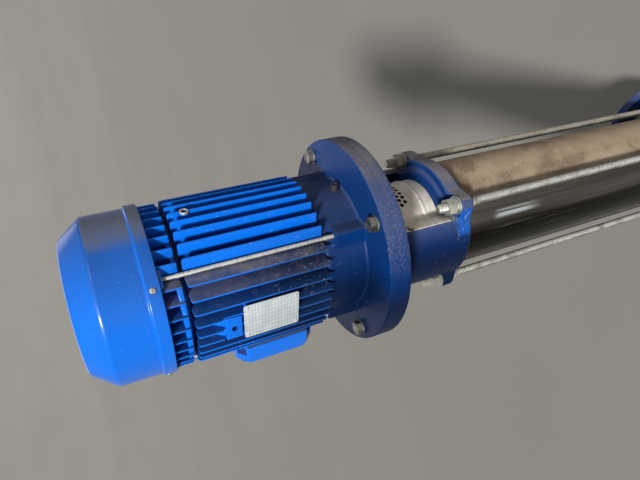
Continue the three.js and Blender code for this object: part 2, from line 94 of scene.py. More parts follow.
# A socket's value on its way through a finish's nodes, with arithmetic
class Signal:
    def __init__(self, finish, socket):
        self.finish = finish
        self.socket = socket

    def math(self, operation, first, second):
        return self.finish.node("Math", {"operation": operation}, {0: first, 1: second})

    def __add__(self, other):
        return self.math("ADD", self, other)

    def __sub__(self, other):
        return self.math("SUBTRACT", self, other)

    def __rsub__(self, other):
        return self.math("SUBTRACT", other, self)

    def __mul__(self, other):
        return self.math("MULTIPLY", self, other)

    def __mod__(self, other):
        return self.math("FLOORED_MODULO", self, other)

    def larger(self, other):
        return self.math("MAXIMUM", self, other)


# The side on which dust has settled while the pump lay down
upperSide = (0, -1, 0)


# A height counted from the motor flange, in metres from the floor
def above(height):
    return (face + height) * mm


# A material and the nodes that feed it
class Finish:
    def __init__(self, name):
        self.material = bpy.data.materials.new(name)
        self.material.use_nodes = True
        self.tree = self.material.node_tree
        self.tree.nodes.clear()
        self.place = self.node("TexCoord", output="Object")
        self.normal = self.node("NewGeometry", output="Normal")

    def node(self, kind, settings={}, inputs={}, output=0):
        made = self.tree.nodes.new("ShaderNode" + kind)
        for name, value in settings.items():
            setattr(made, name, value)
        for name, value in inputs.items():
            socket = made.inputs[name]
            if isinstance(value, Signal):
                self.tree.links.new(value.socket, socket)
            else:
                socket.default_value = (*value, 1) if socket.type == "RGBA" else value
        return Signal(self, made.outputs[output])

    def noise(self, scale, detail, rough, vector=None):
        return self.node("TexNoise", {"noise_dimensions": "3D"}, {
            "Vector": vector or self.place, "Scale": scale, "Detail": detail,
            "Roughness": rough}, "Fac")

    def streaks(self, scale, detail, rough):
        stretched = self.node("Mapping", {}, {"Vector": self.place, "Scale": scale})
        return self.noise(1.0, detail, rough, stretched)

    def step(self, value, low, high, bottom=0.0, top=1.0):
        return self.node("MapRange", {"interpolation_type": "SMOOTHSTEP"}, {
            "Value": value, "From Min": low, "From Max": high, "To Min": bottom, "To Max": top})

    def patches(self, scale, detail, rough, *limits):
        return self.step(self.noise(scale, detail, rough), *limits)

    def facing(self, direction):
        return self.node("VectorMath", {"operation": "DOT_PRODUCT"}, {
            0: self.normal, 1: Vector(direction).normalized()}, "Value")

    def lean(self, low, high, direction=upperSide):
        return self.step(self.facing(direction), low, high)

    def axis(self, letter):
        return self.node("SeparateXYZ", {}, {0: self.place}, letter)

    def along(self, letter, *limits):
        return self.step(self.axis(letter), *limits)

    def zone(self, low, high, *ends):         # heights from the motor flange
        return self.along("Z", above(low), above(high), *ends)

    def fromShaft(self, low, high):
        flat = self.node("VectorMath", {"operation": "MULTIPLY"}, {0: self.place, 1: (1, 1, 0)})
        reach = self.node("VectorMath", {"operation": "LENGTH"}, {0: flat}, "Value")
        return self.step(reach, low, high)

    def blend(self, amount, first, second):
        return self.node("Mix", {"data_type": "RGBA"}, {0: amount, 6: first, 7: second}, 2)

    # Tones laid over a colour one after the other, each where its mask says
    def layered(self, colour, *layers):
        for mask, tone in layers:
            colour = self.blend(mask, colour, tone)
        return colour

    def mottled(self, value, low, high, first, second):
        return self.blend(self.step(value, low, high), first, second)

    def bump(self, height, strength, distance):
        return self.node("Bump", {}, {
            "Strength": strength, "Distance": distance, "Height": height})

    def grain(self, scale, detail, rough, strength, distance):
        return self.bump(self.noise(scale, detail, rough), strength, distance)

    def surface(self, **sockets):
        named = {name.replace("_", " "): value for name, value in sockets.items()}
        shader = self.node("BsdfPrincipled", {}, named)
        out = self.tree.nodes.new("ShaderNodeOutputMaterial")
        self.tree.links.new(shader.socket, out.inputs[0])
        return self.material


# A thin film dulls a surface that leans to the upper side, and thick dust lies on its top. The film
# is dust, and on the motor's enamel it is also painted shade. Each is given as two limits of the
# lean and the most it covers.
def dusted(finish, colour, film, thick, filmTone, thickTone, patch):
    patches = finish.patches(patch, 5, 0.6, 0.3, 0.62, 0.7, 1.0)
    thin, deep = [finish.lean(low, high) * most * patches for low, high, most in (film, thick)]
    return finish.layered(colour, (thin, filmTone), (deep, thickTone)), deep.larger(thin)


# Small pale grains of grit, thrown at random
def specksOn(finish, scale, limit, rare=0.6):
    cells = finish.node("TexVoronoi", {"feature": "F1"}, {
        "Vector": finish.place, "Scale": scale, "Randomness": 1.0}, "Distance")
    spread = finish.patches(scale * 0.33, 2, 0.5, rare, rare + 0.06)
    return finish.step(cells, limit, limit * 0.5) * spread


# Slow waves in the enamel's skin, and fine grains where dust lies. rough is the dust's share and
# the range of the clean skin, and coat its weight, roughness and the shine under it.
def enamel(finish, colour, dust, shade, rough, bump, coat, waves=(420, 2, 0.5, 0.6),
           grains=(1500, 0.8)):
    height = finish.noise(*waves[:3]) * waves[3] + (
        finish.noise(grains[0], 2, 0.5) * dust * grains[1])
    return finish.surface(
        Base_Color=colour, Roughness=dust * rough[0] + finish.step(shade, 0.3, 0.7, *rough[1:]),
        Normal=finish.bump(height, *bump), Coat_Weight=coat[0], Coat_Roughness=coat[1],
        Specular_IOR_Level=coat[2])


def motorBlue(finish):
    shade = finish.noise(14, 4, 0.6)
    mix = finish.step(shade, 0.3, 0.7, 0.0, 0.35)
    return shade, finish.blend(mix, (0.002, 0.15, 0.72), (0.003, 0.12, 0.6))


# Clean glossy blue for the cowl and the terminal box. The faces that lean upwards are painted a
# darker blue as shade, under a film that roughens like dust, and thick dust lies on top.
def makeMotorEnamel():
    finish = Finish("motorEnamel")
    shade, body = motorBlue(finish)
    # The film tone is painted shade: a darker blue on the upper side, where less light falls.
    colour, dust = dusted(
        finish, body, (0.25, 0.9, 0.5), (0.92, 1.0, 0.9), (0.02, 0.055, 0.155),
        (0.15, 0.168, 0.205), 8)
    colour = finish.blend(specksOn(finish, 430, 0.16, 0.59), colour, (0.5, 0.53, 0.56))
    return enamel(finish, colour, dust, shade, (0.42, 0.26, 0.36), (0.2, 0.0004), (0.55, 0.15, 0.2))


# The same blue on finned pieces. Painted shade blackens the gaps between the fins and darkens the
# upper faces of the level fins, which are also dulled towards the pump by dust and painted shadow,
# and carry dust and grit.
def makeFinEnamel():
    finish = Finish("finEnamel")
    shade, body = motorBlue(finish)
    level = finish.along("X", -0.062, -0.074)
    # depth: painted shade deep between the fins, where little light reaches
    depth = finish.fromShaft(0.0985, 0.0935) * (1.0 - level)
    lying = finish.lean(0.5, 0.95) * level
    topmost = finish.along("Y", -0.03, -0.066, 0.06, 0.9)
    dust = lying * topmost * finish.patches(26, 5, 0.65, 0.35, 0.62, 0.3, 1.0)
    nearPump = finish.zone(190, 85, 0.12, 1.0) * finish.along("Y", 0.004, -0.03)
    grit = specksOn(finish, 450, 0.34, 0.54) * lying * nearPump
    grit = grit.larger(specksOn(finish, 330, 0.16) * (1.0 - depth))
    colour = finish.layered(
        body, (depth * 0.75, (0.002, 0.007, 0.026)),
        # Painted shadow, with some dust dulling: the level fins darker navy towards the pump
        (level * finish.zone(190, 90, 0.0, 0.85), (0.012, 0.048, 0.17)),
        # Painted shade: the upper faces of the level fins a darker navy (first layer below)
        (lying * 0.9, (0.004, 0.04, 0.15)), (dust, (0.19, 0.18, 0.215)), (grit, (0.74, 0.76, 0.8)))
    return enamel(
        finish, colour, dust, shade, (0.42, 0.28, 0.38), (0.22, 0.0004), (0.2, 0.12, 0.15))


# Dark blue over sand-cast iron. It is painted near black low down as shadow and painted brighter
# on the upper faces towards the motor as light, and the pump head carries more dust than the
# shield. One lug of the head shows fresh paint.
def makeCastEnamel():
    finish = Finish("castEnamel")
    shade = finish.noise(11, 5, 0.6)
    body = finish.mottled(shade, 0.3, 0.7, (0.002, 0.03, 0.15), (0.002, 0.02, 0.098))
    # Painted shadow: near black on the lower side
    body = finish.blend(finish.along("Y", 0.01, -0.06), (0.002, 0.01, 0.042), body)
    # Painted light: brighter blue on the upper faces that look towards the motor
    motorwardLit = finish.lean(0.5, 0.9, (0, 0, 1)) * finish.along("Y", -0.035, -0.105)
    body = finish.blend(motorwardLit * 0.8, body, (0.005, 0.034, 0.145))
    head = finish.zone(6, -4)
    filmTone = finish.blend(head, (0.022, 0.044, 0.125), (0.085, 0.11, 0.235))
    thickTone = finish.blend(head, (0.042, 0.066, 0.155), (0.09, 0.108, 0.17))
    thickTone = finish.blend(finish.zone(-90, -140), thickTone, (0.235, 0.225, 0.23))
    colour, dust = dusted(finish, body, (0.2, 0.75, 0.6), (0.8, 1.0, 0.75), filmTone, thickTone, 10)
    crown = head * finish.lean(0.88, 0.99) * finish.patches(30, 4, 0.6, 0.35, 0.6)
    lug = finish.along("X", -0.079, -0.081) * finish.along("Y", -0.027, -0.036)
    lug = lug * finish.zone(-148, -150)
    lug = lug * finish.lean(0.6, 0.9, (-1, 0, 0)) * finish.patches(120, 3, 0.6, 0.34, 0.4)
    lugTone = finish.blend(
        finish.along("Y", -0.067, -0.072), (0.01, 0.085, 0.38), (0.07, 0.085, 0.17))
    chipZone = finish.along("X", -0.07, -0.078) * finish.zone(-142, -150)
    chipZone = chipZone * finish.along("Y", -0.018, -0.03) * finish.along("Y", -0.074, -0.066)
    chips = finish.step(finish.streaks((260, 110, 420), 3, 0.6), 0.63, 0.67) * chipZone
    rim = finish.fromShaft(0.147, 0.1495) * finish.along("Y", -0.03, -0.072)
    rim = rim * finish.along("Y", -0.142, -0.118)
    rimGrit = specksOn(finish, 900, 0.3, 0.44) * (dust * head * 0.9).larger(rim)
    pale = specksOn(finish, 300, 0.15, 0.65).larger(rimGrit * 0.8).larger(chips)
    colour = finish.layered(
        colour, (crown * 0.55, (0.215, 0.19, 0.195)), (lug, lugTone), (pale, (0.45, 0.48, 0.54)))
    return enamel(
        finish, colour, dust, shade, (0.38, 0.34, 0.46), (0.35, 0.0006), (0.04, 0.2, 0.07),
        (260, 4, 0.65, 1.0), (1300, 0.6))


# Zinc-plated bolts, dulled, with brown spots and a little dust
def makeZinc():
    finish = Finish("zincPlate")
    cloud = finish.noise(90, 4, 0.6)
    colour = finish.mottled(cloud, 0.35, 0.65, (0.17, 0.17, 0.145), (0.34, 0.34, 0.305))
    spots = finish.patches(380, 4, 0.7, 0.53, 0.65)
    colour = finish.blend(spots * 0.8, colour, (0.1, 0.075, 0.05))
    colour, dust = dusted(
        finish, colour, (0.1, 0.8, 0.3), (0.8, 1.0, 0.3), (0.26, 0.25, 0.21), (0.3, 0.27, 0.22), 60)
    return finish.surface(
        Base_Color=colour, Metallic=1.0 - (dust * 0.8).larger(spots * 0.7),
        Roughness=finish.step(cloud, 0.3, 0.7, 0.38, 0.52) + dust * 0.3 + spots * 0.2,
        Normal=finish.grain(700, 3, 0.6, 0.2, 0.0003))


# Plated and pale, with dust and spots along the upper side, grime by the head, and far nuts darker
def makeRodZinc():
    finish = Finish("rodZinc")
    cloud = finish.noise(40, 4, 0.6)
    lying = finish.lean(-0.1, 0.6)
    dust = lying * finish.patches(55, 5, 0.65, 0.36, 0.56, 0.45, 1.0)
    dustTone = finish.blend(finish.along("X", 0.02, 0.06), (0.47, 0.48, 0.46), (0.34, 0.29, 0.22))
    spots = finish.patches(260, 3, 0.6, 0.57, 0.64) * lying
    collar = finish.zone(-195, -180) * finish.zone(-160, -168)
    # The far nuts are made darker
    farNut = finish.zone(-160, -152) * finish.zone(-100, -110)
    farNut = farNut * finish.along("Y", 0.02, 0.04).larger(finish.along("X", 0.02, 0.04, 0.0, 0.35))
    grimeAndDarkening = collar.larger(farNut)
    colour = finish.layered(
        finish.mottled(cloud, 0.35, 0.65, (0.46, 0.46, 0.43), (0.66, 0.67, 0.64)),
        (dust * 0.85, dustTone), (spots * 0.7, (0.1, 0.09, 0.075)),
        (grimeAndDarkening * 0.75, (0.15, 0.135, 0.11)))
    return finish.surface(
        Base_Color=colour, Metallic=1.0 - dust.larger(grimeAndDarkening) * 0.8,
        Roughness=finish.step(cloud, 0.3, 0.7, 0.34, 0.46) + dust.larger(grimeAndDarkening) * 0.35,
        Normal=finish.grain(700, 3, 0.6, 0.2, 0.0003))


# Drawn steel of the base, with fine lines round it
def makeSheetSteel():
    finish = Finish("drawnSheet")
    lines = finish.streaks((14, 14, 900), 3, 0.6)
    colour = finish.mottled(
        finish.noise(7, 5, 0.6), 0.3, 0.7, (0.56, 0.53, 0.49), (0.42, 0.4, 0.37))
    colour, dust = dusted(
        finish, colour, (0.3, 0.8, 0.4), (0.7, 0.95, 0.7), (0.28, 0.24, 0.19),
        (0.34, 0.26, 0.18), 14)
    return finish.surface(
        Base_Color=colour, Metallic=1.0 - dust * 0.95,
        Roughness=finish.step(lines, 0.3, 0.7, 0.22, 0.34) + dust * 0.5,
        Normal=finish.bump(lines, 0.1, 0.0002))


# Polished sleeve: sand and brown stains on its upper side, the very top of the sand painted lighter
# as light. Below them a painted glint near the head, and painted reflections: long bright and dark
# streaks, and a dark band round the sides.
def makeSleeveSteel():
    finish = Finish("sleeveSteel")
    side = finish.axis("Y")
    wavy = side + finish.noise(3, 3, 0.5) * 0.016
    fine = finish.streaks((260, 260, 5), 3, 0.6)
    # Painted reflections: long bright and dark streaks
    reflectionStreaks = finish.streaks((55, 55, 1.6), 4, 0.6)
    # Painted reflection: a dark band round the sides
    darkReflection = finish.step(wavy, -0.028, -0.008) * finish.step(side, 0.08, 0.05)
    # Painted highlight: a glint below the sand near the head
    paintedGlint = finish.step(wavy, -0.036, -0.03) * finish.step(wavy, -0.02, -0.026)
    paintedGlint = paintedGlint * finish.zone(-330, -285) * finish.zone(-222, -240)
    paintedGlint = paintedGlint * finish.along("X", 0.0, -0.03) * finish.step(fine, 0.3, 0.52)
    steel = finish.layered(
        finish.mottled(reflectionStreaks, 0.35, 0.65, (0.17, 0.163, 0.15), (0.3, 0.292, 0.275)),
        (darkReflection * 0.95, (0.018, 0.016, 0.013)),
        (finish.step(fine, 0.58, 0.7) * 0.35, (0.62, 0.62, 0.6)), (paintedGlint, (0.42, 0.46, 0.49)))
    cover = finish.step(finish.facing(upperSide) + finish.noise(30, 4, 0.6) * 0.1, 0.78, 0.86)
    grains = finish.patches(420, 3, 0.6, 0.55, 0.66)
    ragged = finish.axis("Z") + finish.noise(25, 4, 0.6) * 0.05
    stains = finish.patches(9, 5, 0.6, 0.56, 0.66) * 0.7
    stains = stains.larger(finish.step(ragged, above(-190), above(-160)))
    sand = finish.layered(
        finish.mottled(
            finish.noise(22, 6, 0.65), 0.38, 0.62, (0.23, 0.16, 0.105), (0.37, 0.285, 0.2)),
        # Painted light: the very top of the sand lighter (first layer on this line)
        (finish.lean(0.9, 1.0) * 0.45, (0.62, 0.47, 0.33)), (grains * 0.5, (0.62, 0.52, 0.4)),
        (stains * 0.75, (0.15, 0.095, 0.055)))
    return finish.surface(
        Base_Color=finish.blend(cover, steel, sand), Metallic=1.0 - cover.larger(paintedGlint * 0.7),
        Roughness=finish.step(fine, 0.3, 0.7, 0.14, 0.24) + cover * 0.5 + paintedGlint * 0.2,
        Normal=finish.bump(fine * 0.3 + grains * cover, 0.15, 0.0003))


# Guard sheet, blotched and grey-beige, with a dark ring round the front lip's screw
def makeGuardSheet():
    finish = Finish("guardSheet")
    blotch = finish.noise(38, 5, 0.65)
    colour = finish.mottled(blotch, 0.38, 0.62, (0.76, 0.69, 0.6), (0.98, 0.94, 0.87))
    colour = finish.blend(finish.patches(70, 4, 0.6, 0.55, 0.68) * 0.5, colour, (0.2, 0.15, 0.1))
    colour, dust = dusted(
        finish, colour, (0.2, 0.8, 0.3), (0.75, 1.0, 0.35), (0.44, 0.38, 0.3),
        (0.46, 0.4, 0.32), 40)
    screwX, screwHeight = -0.0745, above(-73)
    across = finish.axis("X") - screwX
    down = finish.axis("Z") - screwHeight
    squared = across * across + down * down
    ring = finish.step(squared, 0.00003, 0.0000215) * finish.step(squared, 0.000007, 0.0000115)
    colour = finish.blend(ring * 0.9, colour, (0.025, 0.018, 0.012))
    return finish.surface(
        Base_Color=colour, Metallic=0.2 - dust * 0.15,
        Roughness=finish.step(blotch, 0.3, 0.7, 0.34, 0.46) + dust * 0.3,
        Normal=finish.grain(220, 3, 0.6, 0.08, 0.0003))


def makeShaftSteel():
    finish = Finish("shaftSteel")
    rings = finish.streaks((8, 8, 1500), 2, 0.5)
    return finish.surface(
        Base_Color=(0.42, 0.42, 0.41), Metallic=1.0,
        Roughness=finish.step(rings, 0.3, 0.7, 0.2, 0.36), Normal=finish.bump(rings, 0.1, 0.0001))


# Plate metal with a plain grid of lines
def makePlateMetal():
    finish = Finish("plateMetal")
    cloud = finish.noise(60, 4, 0.6)
    rows, columns = [finish.step(finish.axis(letter) % pitch, 0.0006, 0.0002)
                     for letter, pitch in (("Z", 0.0042), ("Y", 0.0066))]
    pale = finish.mottled(cloud, 0.3, 0.7, (0.64, 0.71, 0.74), (0.52, 0.58, 0.61))
    colour = finish.blend(rows.larger(columns) * 0.72, pale, (0.2, 0.22, 0.24))
    return finish.surface(
        Base_Color=colour, Metallic=0.25, Roughness=finish.step(cloud, 0.3, 0.7, 0.32, 0.5),
        Normal=finish.grain(900, 2, 0.5, 0.06, 0.0002))


def makeDarkPlastic():
    finish = Finish("darkPlastic")
    colour, _ = dusted(finish, (0.012, 0.013, 0.016), (0.2, 0.8, 0.25), (0.7, 1.0, 0.3),
                       (0.05, 0.05, 0.05), (0.12, 0.11, 0.1), 20)
    return finish.surface(
        Base_Color=colour, Roughness=finish.patches(500, 3, 0.6, 0.3, 0.7, 0.45, 0.65),
        Normal=finish.grain(1200, 2, 0.5, 0.15, 0.0002))


finishes = {
    "motor_paint": makeMotorEnamel(),
    "casting_paint": makeCastEnamel(),
    "zinc": makeZinc(),
    "stainless": makeSheetSteel(),
    "shaft_steel": makeShaftSteel(),
    "alloy_plate": makePlateMetal(),
    "dark_plastic": makeDarkPlastic(),
}
finEnamel = makeFinEnamel()
rodZinc = makeRodZinc()
sleeveSteel = makeSleeveSteel()
guardSheet = makeGuardSheet()
slotOf = {row["node"]: row["material_slot"] for row in frame["record"]["subparts"]}
for node, thing in frame["nodes"].items():
    thing.data.materials.clear()
    thing.data.materials.append(finishes[slotOf[node]])
print("materials made")


# Shape helpers, in millimetres. An outline's (x, y, radius) corners are rounded with arcs, and
# its (x, y) corners are kept.
def filleted(corners, steps):
    outline = []
    for i, (x, y, *size) in enumerate(corners):
        here = Vector((x, y))
        if not any(size):
            outline.append(here)
            continue
        before = Vector(corners[i - 1][:2]) - here
        after = Vector(corners[(i + 1) % len(corners)][:2]) - here
        back = before.normalized()
        on = after.normalized()
        half = back.angle(on) / 2
        reach = min(size[0] / tan(half), before.length * 0.49, after.length * 0.49)
        radius = reach * tan(half)
        centre = here + (back + on).normalized() * radius / sin(half)
        start = here + back * reach - centre
        sweep = (pi - 2 * half) * (1 if back.cross(on) < 0 else -1)
        for k in range(steps + 1):
            outline.append(centre + Matrix.Rotation(sweep * k / steps, 2) @ start)
    return outline


def spin(shape, items, angle, steps, merge):
    bmesh.ops.spin(shape, geom=items, cent=(0, 0, 0), axis=(0, 0, 1), dvec=(0, 0, 0), angle=angle,
                   steps=steps, use_merge=merge, use_duplicate=False)


# A profile of (radius, height) points, turned round the shaft. A profile that leaves the axis
# is closed into a ring, unless it is a bare sheet.
def turned(corners, steps=96, fillets=5, sheet=False):
    outline = filleted(corners, fillets)
    shape = bmesh.new()
    chain = [shape.verts.new((x, 0, y)) for x, y in outline]
    edges = [shape.edges.new(pair) for pair in zip(chain, chain[1:])]
    if not sheet and (outline[0].x > 1e-6 or outline[-1].x > 1e-6):
        edges.append(shape.edges.new((chain[-1], chain[0])))
    spin(shape, chain + edges, 2 * pi, steps, True)
    bmesh.ops.remove_doubles(shape, verts=shape.verts, dist=1e-4)
    bmesh.ops.recalc_face_normals(shape, faces=shape.faces)
    return shape


# A plain drum, or a ring where it has a bore. Its four corners run from the low inner one, out,
# up and in again.
def drum(radius, low, high, corners=(0, 0, 0, 0), bore=0, steps=96, fillets=5):
    profile = ((bore, low), (radius, low), (radius, high), (bore, high))
    return turned([(*point, size) for point, size in zip(profile, corners)], steps, fillets)


# An outline of (x, y) points, raised from low to high
def slab(corners, low, high, fillets=5):
    shape = bmesh.new()
    floor = shape.faces.new([shape.verts.new((x, y, low)) for x, y in filleted(corners, fillets)])
    raised = bmesh.ops.extrude_face_region(shape, geom=[floor], use_keep_orig=True)
    tops = [v for v in raised["geom"] if isinstance(v, bmesh.types.BMVert)]
    bmesh.ops.translate(shape, verts=tops, vec=(0, 0, high - low))
    bmesh.ops.recalc_face_normals(shape, faces=shape.faces)
    return shape


def roundedSlab(halfX, halfY, corner, low, high):
    return slab([(-halfX, -halfY, corner), (halfX, -halfY, corner), (halfX, halfY, corner),
                 (-halfX, halfY, corner)], low, high, 8)


def soften(shape, edges, width, segments):
    bmesh.ops.bevel(shape, geom=list(edges), offset=width, offset_type="OFFSET", affect="EDGES",
                    segments=segments, profile=0.5, material=-1, clamp_overlap=True)
    return shape


def sharpEdges(shape, angle):
    return [edge for edge in shape.edges if edge.calc_face_angle(0) > radians(angle)]


def block(xs, ys, zs, rounding=0.0, segments=3):
    shape = bmesh.new()
    size = Matrix.Diagonal((xs[1] - xs[0], ys[1] - ys[0], zs[1] - zs[0], 1))
    middle = Vector((sum(xs), sum(ys), sum(zs))) / 2
    bmesh.ops.create_cube(shape, size=1, matrix=Matrix.Translation(middle) @ size)
    if rounding:
        soften(shape, shape.edges, rounding, segments)
    return shape


def post(radius, low, high, x=0, y=0, steps=32):
    shape = bmesh.new()
    bmesh.ops.create_cone(shape, cap_ends=True, segments=steps, radius1=radius, radius2=radius,
                          depth=high - low, matrix=Matrix.Translation((x, y, (low + high) / 2)))
    return shape


def moved(shape, matrix):
    bmesh.ops.transform(shape, matrix=matrix, verts=shape.verts)
    return shape


def spunTo(shape, degrees, axis="Z"):
    return moved(shape, Matrix.Rotation(radians(degrees), 4, axis))


def shifted(shape, *offset):
    return moved(shape, Matrix.Translation(offset))


# A shape drawn up the Z axis is laid along the X or the Y axis.
def alongX(shape):
    return spunTo(shape, 90, "Y")


def alongY(shape):
    return spunTo(shape, -90, "X")


def onCircle(radius, degrees):
    return radius * cos(radians(degrees)), radius * sin(radians(degrees))


def fourPlaces(x, y):
    return [(-x, -y), (-x, y), (x, -y), (x, y)]


# A mesh from one bmesh, and one bmesh from several. The shapes are used up.
def meshFrom(shape, name="scratch"):
    mesh = bpy.data.meshes.new(name)
    shape.to_mesh(mesh)
    shape.free()
    return mesh


def gathered(shapes):
    whole = bmesh.new()
    for shape in shapes:
        part = meshFrom(shape)
        whole.from_mesh(part)
        bpy.data.meshes.remove(part)
    return whole


def scratchObject(shape):
    return added("scratch", meshFrom(shape))


def discard(thing):
    mesh = thing.data
    bpy.data.objects.remove(thing)
    bpy.data.meshes.remove(mesh)


# The shape of an object with its modifiers applied. The object is used up.
def evaluated(thing):
    bpy.context.view_layer.update()
    graph = bpy.context.evaluated_depsgraph_get()
    mesh = bpy.data.meshes.new_from_object(thing.evaluated_get(graph))
    shape = bmesh.new()
    shape.from_mesh(mesh)
    bpy.data.meshes.remove(mesh)
    discard(thing)
    return shape


def addModifier(thing, kind, **settings):
    modifier = thing.modifiers.new("change", kind)
    for name, value in settings.items():
        setattr(modifier, name, value)


def combined(operation, first, others):
    target = scratchObject(first)
    tool = scratchObject(gathered(others))
    addModifier(target, "BOOLEAN", operation=operation, solver="EXACT", use_self=True, object=tool)
    result = evaluated(target)
    discard(tool)
    return result


def cutFrom(first, *others):
    return combined("DIFFERENCE", first, others)


def joined(*shapes):
    return combined("UNION", shapes[0], shapes[1:])


# Melts a shape's parts into one skin with soft inner corners, like a casting.
def cast(shape, grain, smoothing):
    thing = scratchObject(shape)
    addModifier(thing, "REMESH", mode="VOXEL", voxel_size=grain)
    addModifier(thing, "SMOOTH", factor=0.5, iterations=smoothing)
    return evaluated(thing)


def evenPlaces(count, pitch):
    return [(i - (count - 1) / 2) * pitch for i in range(count)]


# A piece's shapes are put in place, in metres, and get their body, slot and finish. Unless told
# otherwise, their heights are counted from the motor flange.
def finishPiece(shapes, name, slot, replaced=(), crease=35, material=None, lift=face):
    place = Matrix.Scale(mm, 4) @ Matrix.Translation((0, 0, lift))
    mesh = meshFrom(moved(gathered(shapes), place), name)
    mesh.shade_smooth()
    mesh.set_sharp_from_angle(angle=radians(crease))
    mesh.materials.append(material or finishes[slot])
    piece = added(name, mesh)
    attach(piece, "root")
    if replaced:
        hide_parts(*replaced)


# Hexagon with turned-off corners, the ridges of a thread, and a round head with a cross in it
def hexagon(flats, low, high, chamferLow=False):
    radius = flats / 2 / cos(pi / 6)
    drop = (radius - flats * 0.48) * 0.577
    profile = [(0, low), (flats * 0.48 if chamferLow else radius + 1, low)]
    if chamferLow:
        profile.append((radius + 0.01, low + drop))
    profile += [(radius + 0.01, high - drop), (flats * 0.48, high), (0, high)]
    return combined("INTERSECT", post(radius, low, high, steps=6), [turned(profile, 48)])


def threads(radius, low, high, pitch, depth):
    ridges = []
    height = low
    while height + pitch <= high:
        ridges += [(radius - depth, height), (radius, height + pitch * 0.5)]
        height += pitch
    return ridges


def screwHead(radius, height):
    dome = turned([(0, -1.5), (radius, -1.5), (radius, height * 0.15, 0.3),
                   (radius * 0.7, height * 0.9, radius * 0.3), (0, height)], 24)
    reach = radius * 0.56
    slots = [block((-reach, reach), (-0.5, 0.5), (height * 0.4, height + 1)),
             block((-0.5, 0.5), (-reach, reach), (height * 0.4, height + 1))]
    return cutFrom(dome, *slots)


# Fan cowl, with its rim band, cone and ringed grille
cowl = Settings(
    rim=266, bandTop=281, bandRadius=111.5, radius=108.5, coneStart=333, top=362, endRadius=85.5,
    wall=2, hub=20, slot=9, land=5, ribs=6, ribWidth=7, screwAngles=(219.7, 320.3, 39.7, 140.3),
    screwHeight=274.6, screwRadius=3.9)


def makeCowl():
    c = cowl
    wall = c.wall
    pitch = c.slot + c.land
    grilleEdge = c.hub + c.slot
    while grilleEdge + pitch < c.endRadius - 8:
        grilleEdge += pitch
    parts = [
        turned([
            (c.bandRadius - wall, c.rim, 0.5),
            (c.bandRadius, c.rim, 0.8),
            (c.bandRadius, c.bandTop, 1.6),
            (c.radius, c.bandTop + 1.8, 1.2),
            (c.radius, c.coneStart, 9),
            (c.endRadius, c.top, 4),
            (grilleEdge, c.top, 0.6),
            (grilleEdge, c.top - wall, 0.6),
            (c.endRadius - wall / 2, c.top - wall, 2.5),
            (c.radius - wall, c.coneStart - wall / 2, 8),
            (c.radius - wall, c.bandTop + wall, 1),
            (c.bandRadius - wall, c.bandTop - wall, 1),
        ], 160, 6),
        drum(c.hub, c.top - wall, c.top, (0, 0.5, 0.8, 0), steps=64),
    ]
    inner = c.hub + c.slot
    while inner + c.land < grilleEdge:
        outer = inner + c.land
        parts.append(drum(outer, c.top - wall, c.top, (0.5, 0.5, 0.8, 0.8), inner, fillets=3))
        inner += pitch
    half = c.ribWidth / 2
    for i in range(c.ribs):
        rib = block((c.hub - 3, grilleEdge + 2), (-half, half),
                    (c.top - wall + 0.1, c.top - 0.1), 0.5, 2)
        parts.append(spunTo(rib, (i + 0.5) * 360 / c.ribs))
    finishPiece(parts, "fanCowl", "motor_paint", ["fan_cowl"])


def makeCowlScrews():
    c = cowl
    screws = []
    for angle in c.screwAngles:
        screw = alongX(screwHead(c.screwRadius, 2.1))
        shifted(screw, c.bandRadius, 0, c.screwHeight)
        screws.append(spunTo(screw, angle))
    finishPiece(screws, "cowlScrews", "zinc", crease=30, material=rodZinc)


makeCowl()
makeCowlScrews()
print("cowl made")


# Motor frame with its fins, plate seat, lifting pad and threaded boss
motorFrame = Settings(
    core=82, coreMargin=1.8, reach=108.5, low=60, high=237, root=58, pitch=16, count=9,
    rootThick=4.4, tipThick=2.5, endRound=3.6,
    ringRadius=86, ringBore=60, ringLow=225, ringHigh=236,
    plateRoom=((-113, -106), (-30.4, 26), (107.2, 181.5)),
    plateSeat=((-106, -75), (-25, 20), (113, 176)), padRoom=((-113, -104), (-19, 24), (181, 206)),
    boxRoom=((-61, 61), (104, 113), (57, 179)), boxSeatHalf=45, boxCentre=118,
    pad=((-106, -75), (-15.5, 20.5), (182, 203)), padWeb=(14, 12, -16, 16),
    padHole=(3.5, 191.8, 4.2),
    boss=(0, 215.8, 6.2, 3.1), bossReach=106, bossRoot=72, bossFloor=88,
    bossRing=(5.9, 3.4, 94, 108.3), bossRoom=6.6)


# One fin stands along +X at y = 0, thins towards its tip and is rounded at its upper end.
def finBlade(low, high, root, reach, endRound, rootThick, tipThick):
    blade = slab([(root, low), (reach, low, 1.2), (reach, high, endRound), (root, high)], -1, 1, 4)
    for vert in blade.verts:
        share = (vert.co.x - root) / (reach - root)
        vert.co.z *= (rootThick + (tipThick - rootThick) * share) / 2
    rims = [edge for edge in blade.edges if edge.verts[0].co.z * edge.verts[1].co.z > 0]
    soften(blade, rims, tipThick * 0.3, 2)
    return spunTo(blade, 90, "X")


# The four banks of fins: upright on the Y sides and level on the X sides
def finBanks(low, high, reach, endRound):
    m = motorFrame
    banks = {}
    for turn in (0, 90, 180, 270):
        fins = []
        for offset in evenPlaces(m.count, m.pitch):
            tip = (reach ** 2 - offset ** 2) ** 0.5
            root = max(m.root, (m.core ** 2 - offset ** 2) ** 0.5 - 4)
            blade = finBlade(low, high, root, tip, endRound, m.rootThick, m.tipThick)
            fins.append(spunTo(shifted(blade, 0, offset, 0), turn))
        banks[turn] = gathered(fins)
    return banks


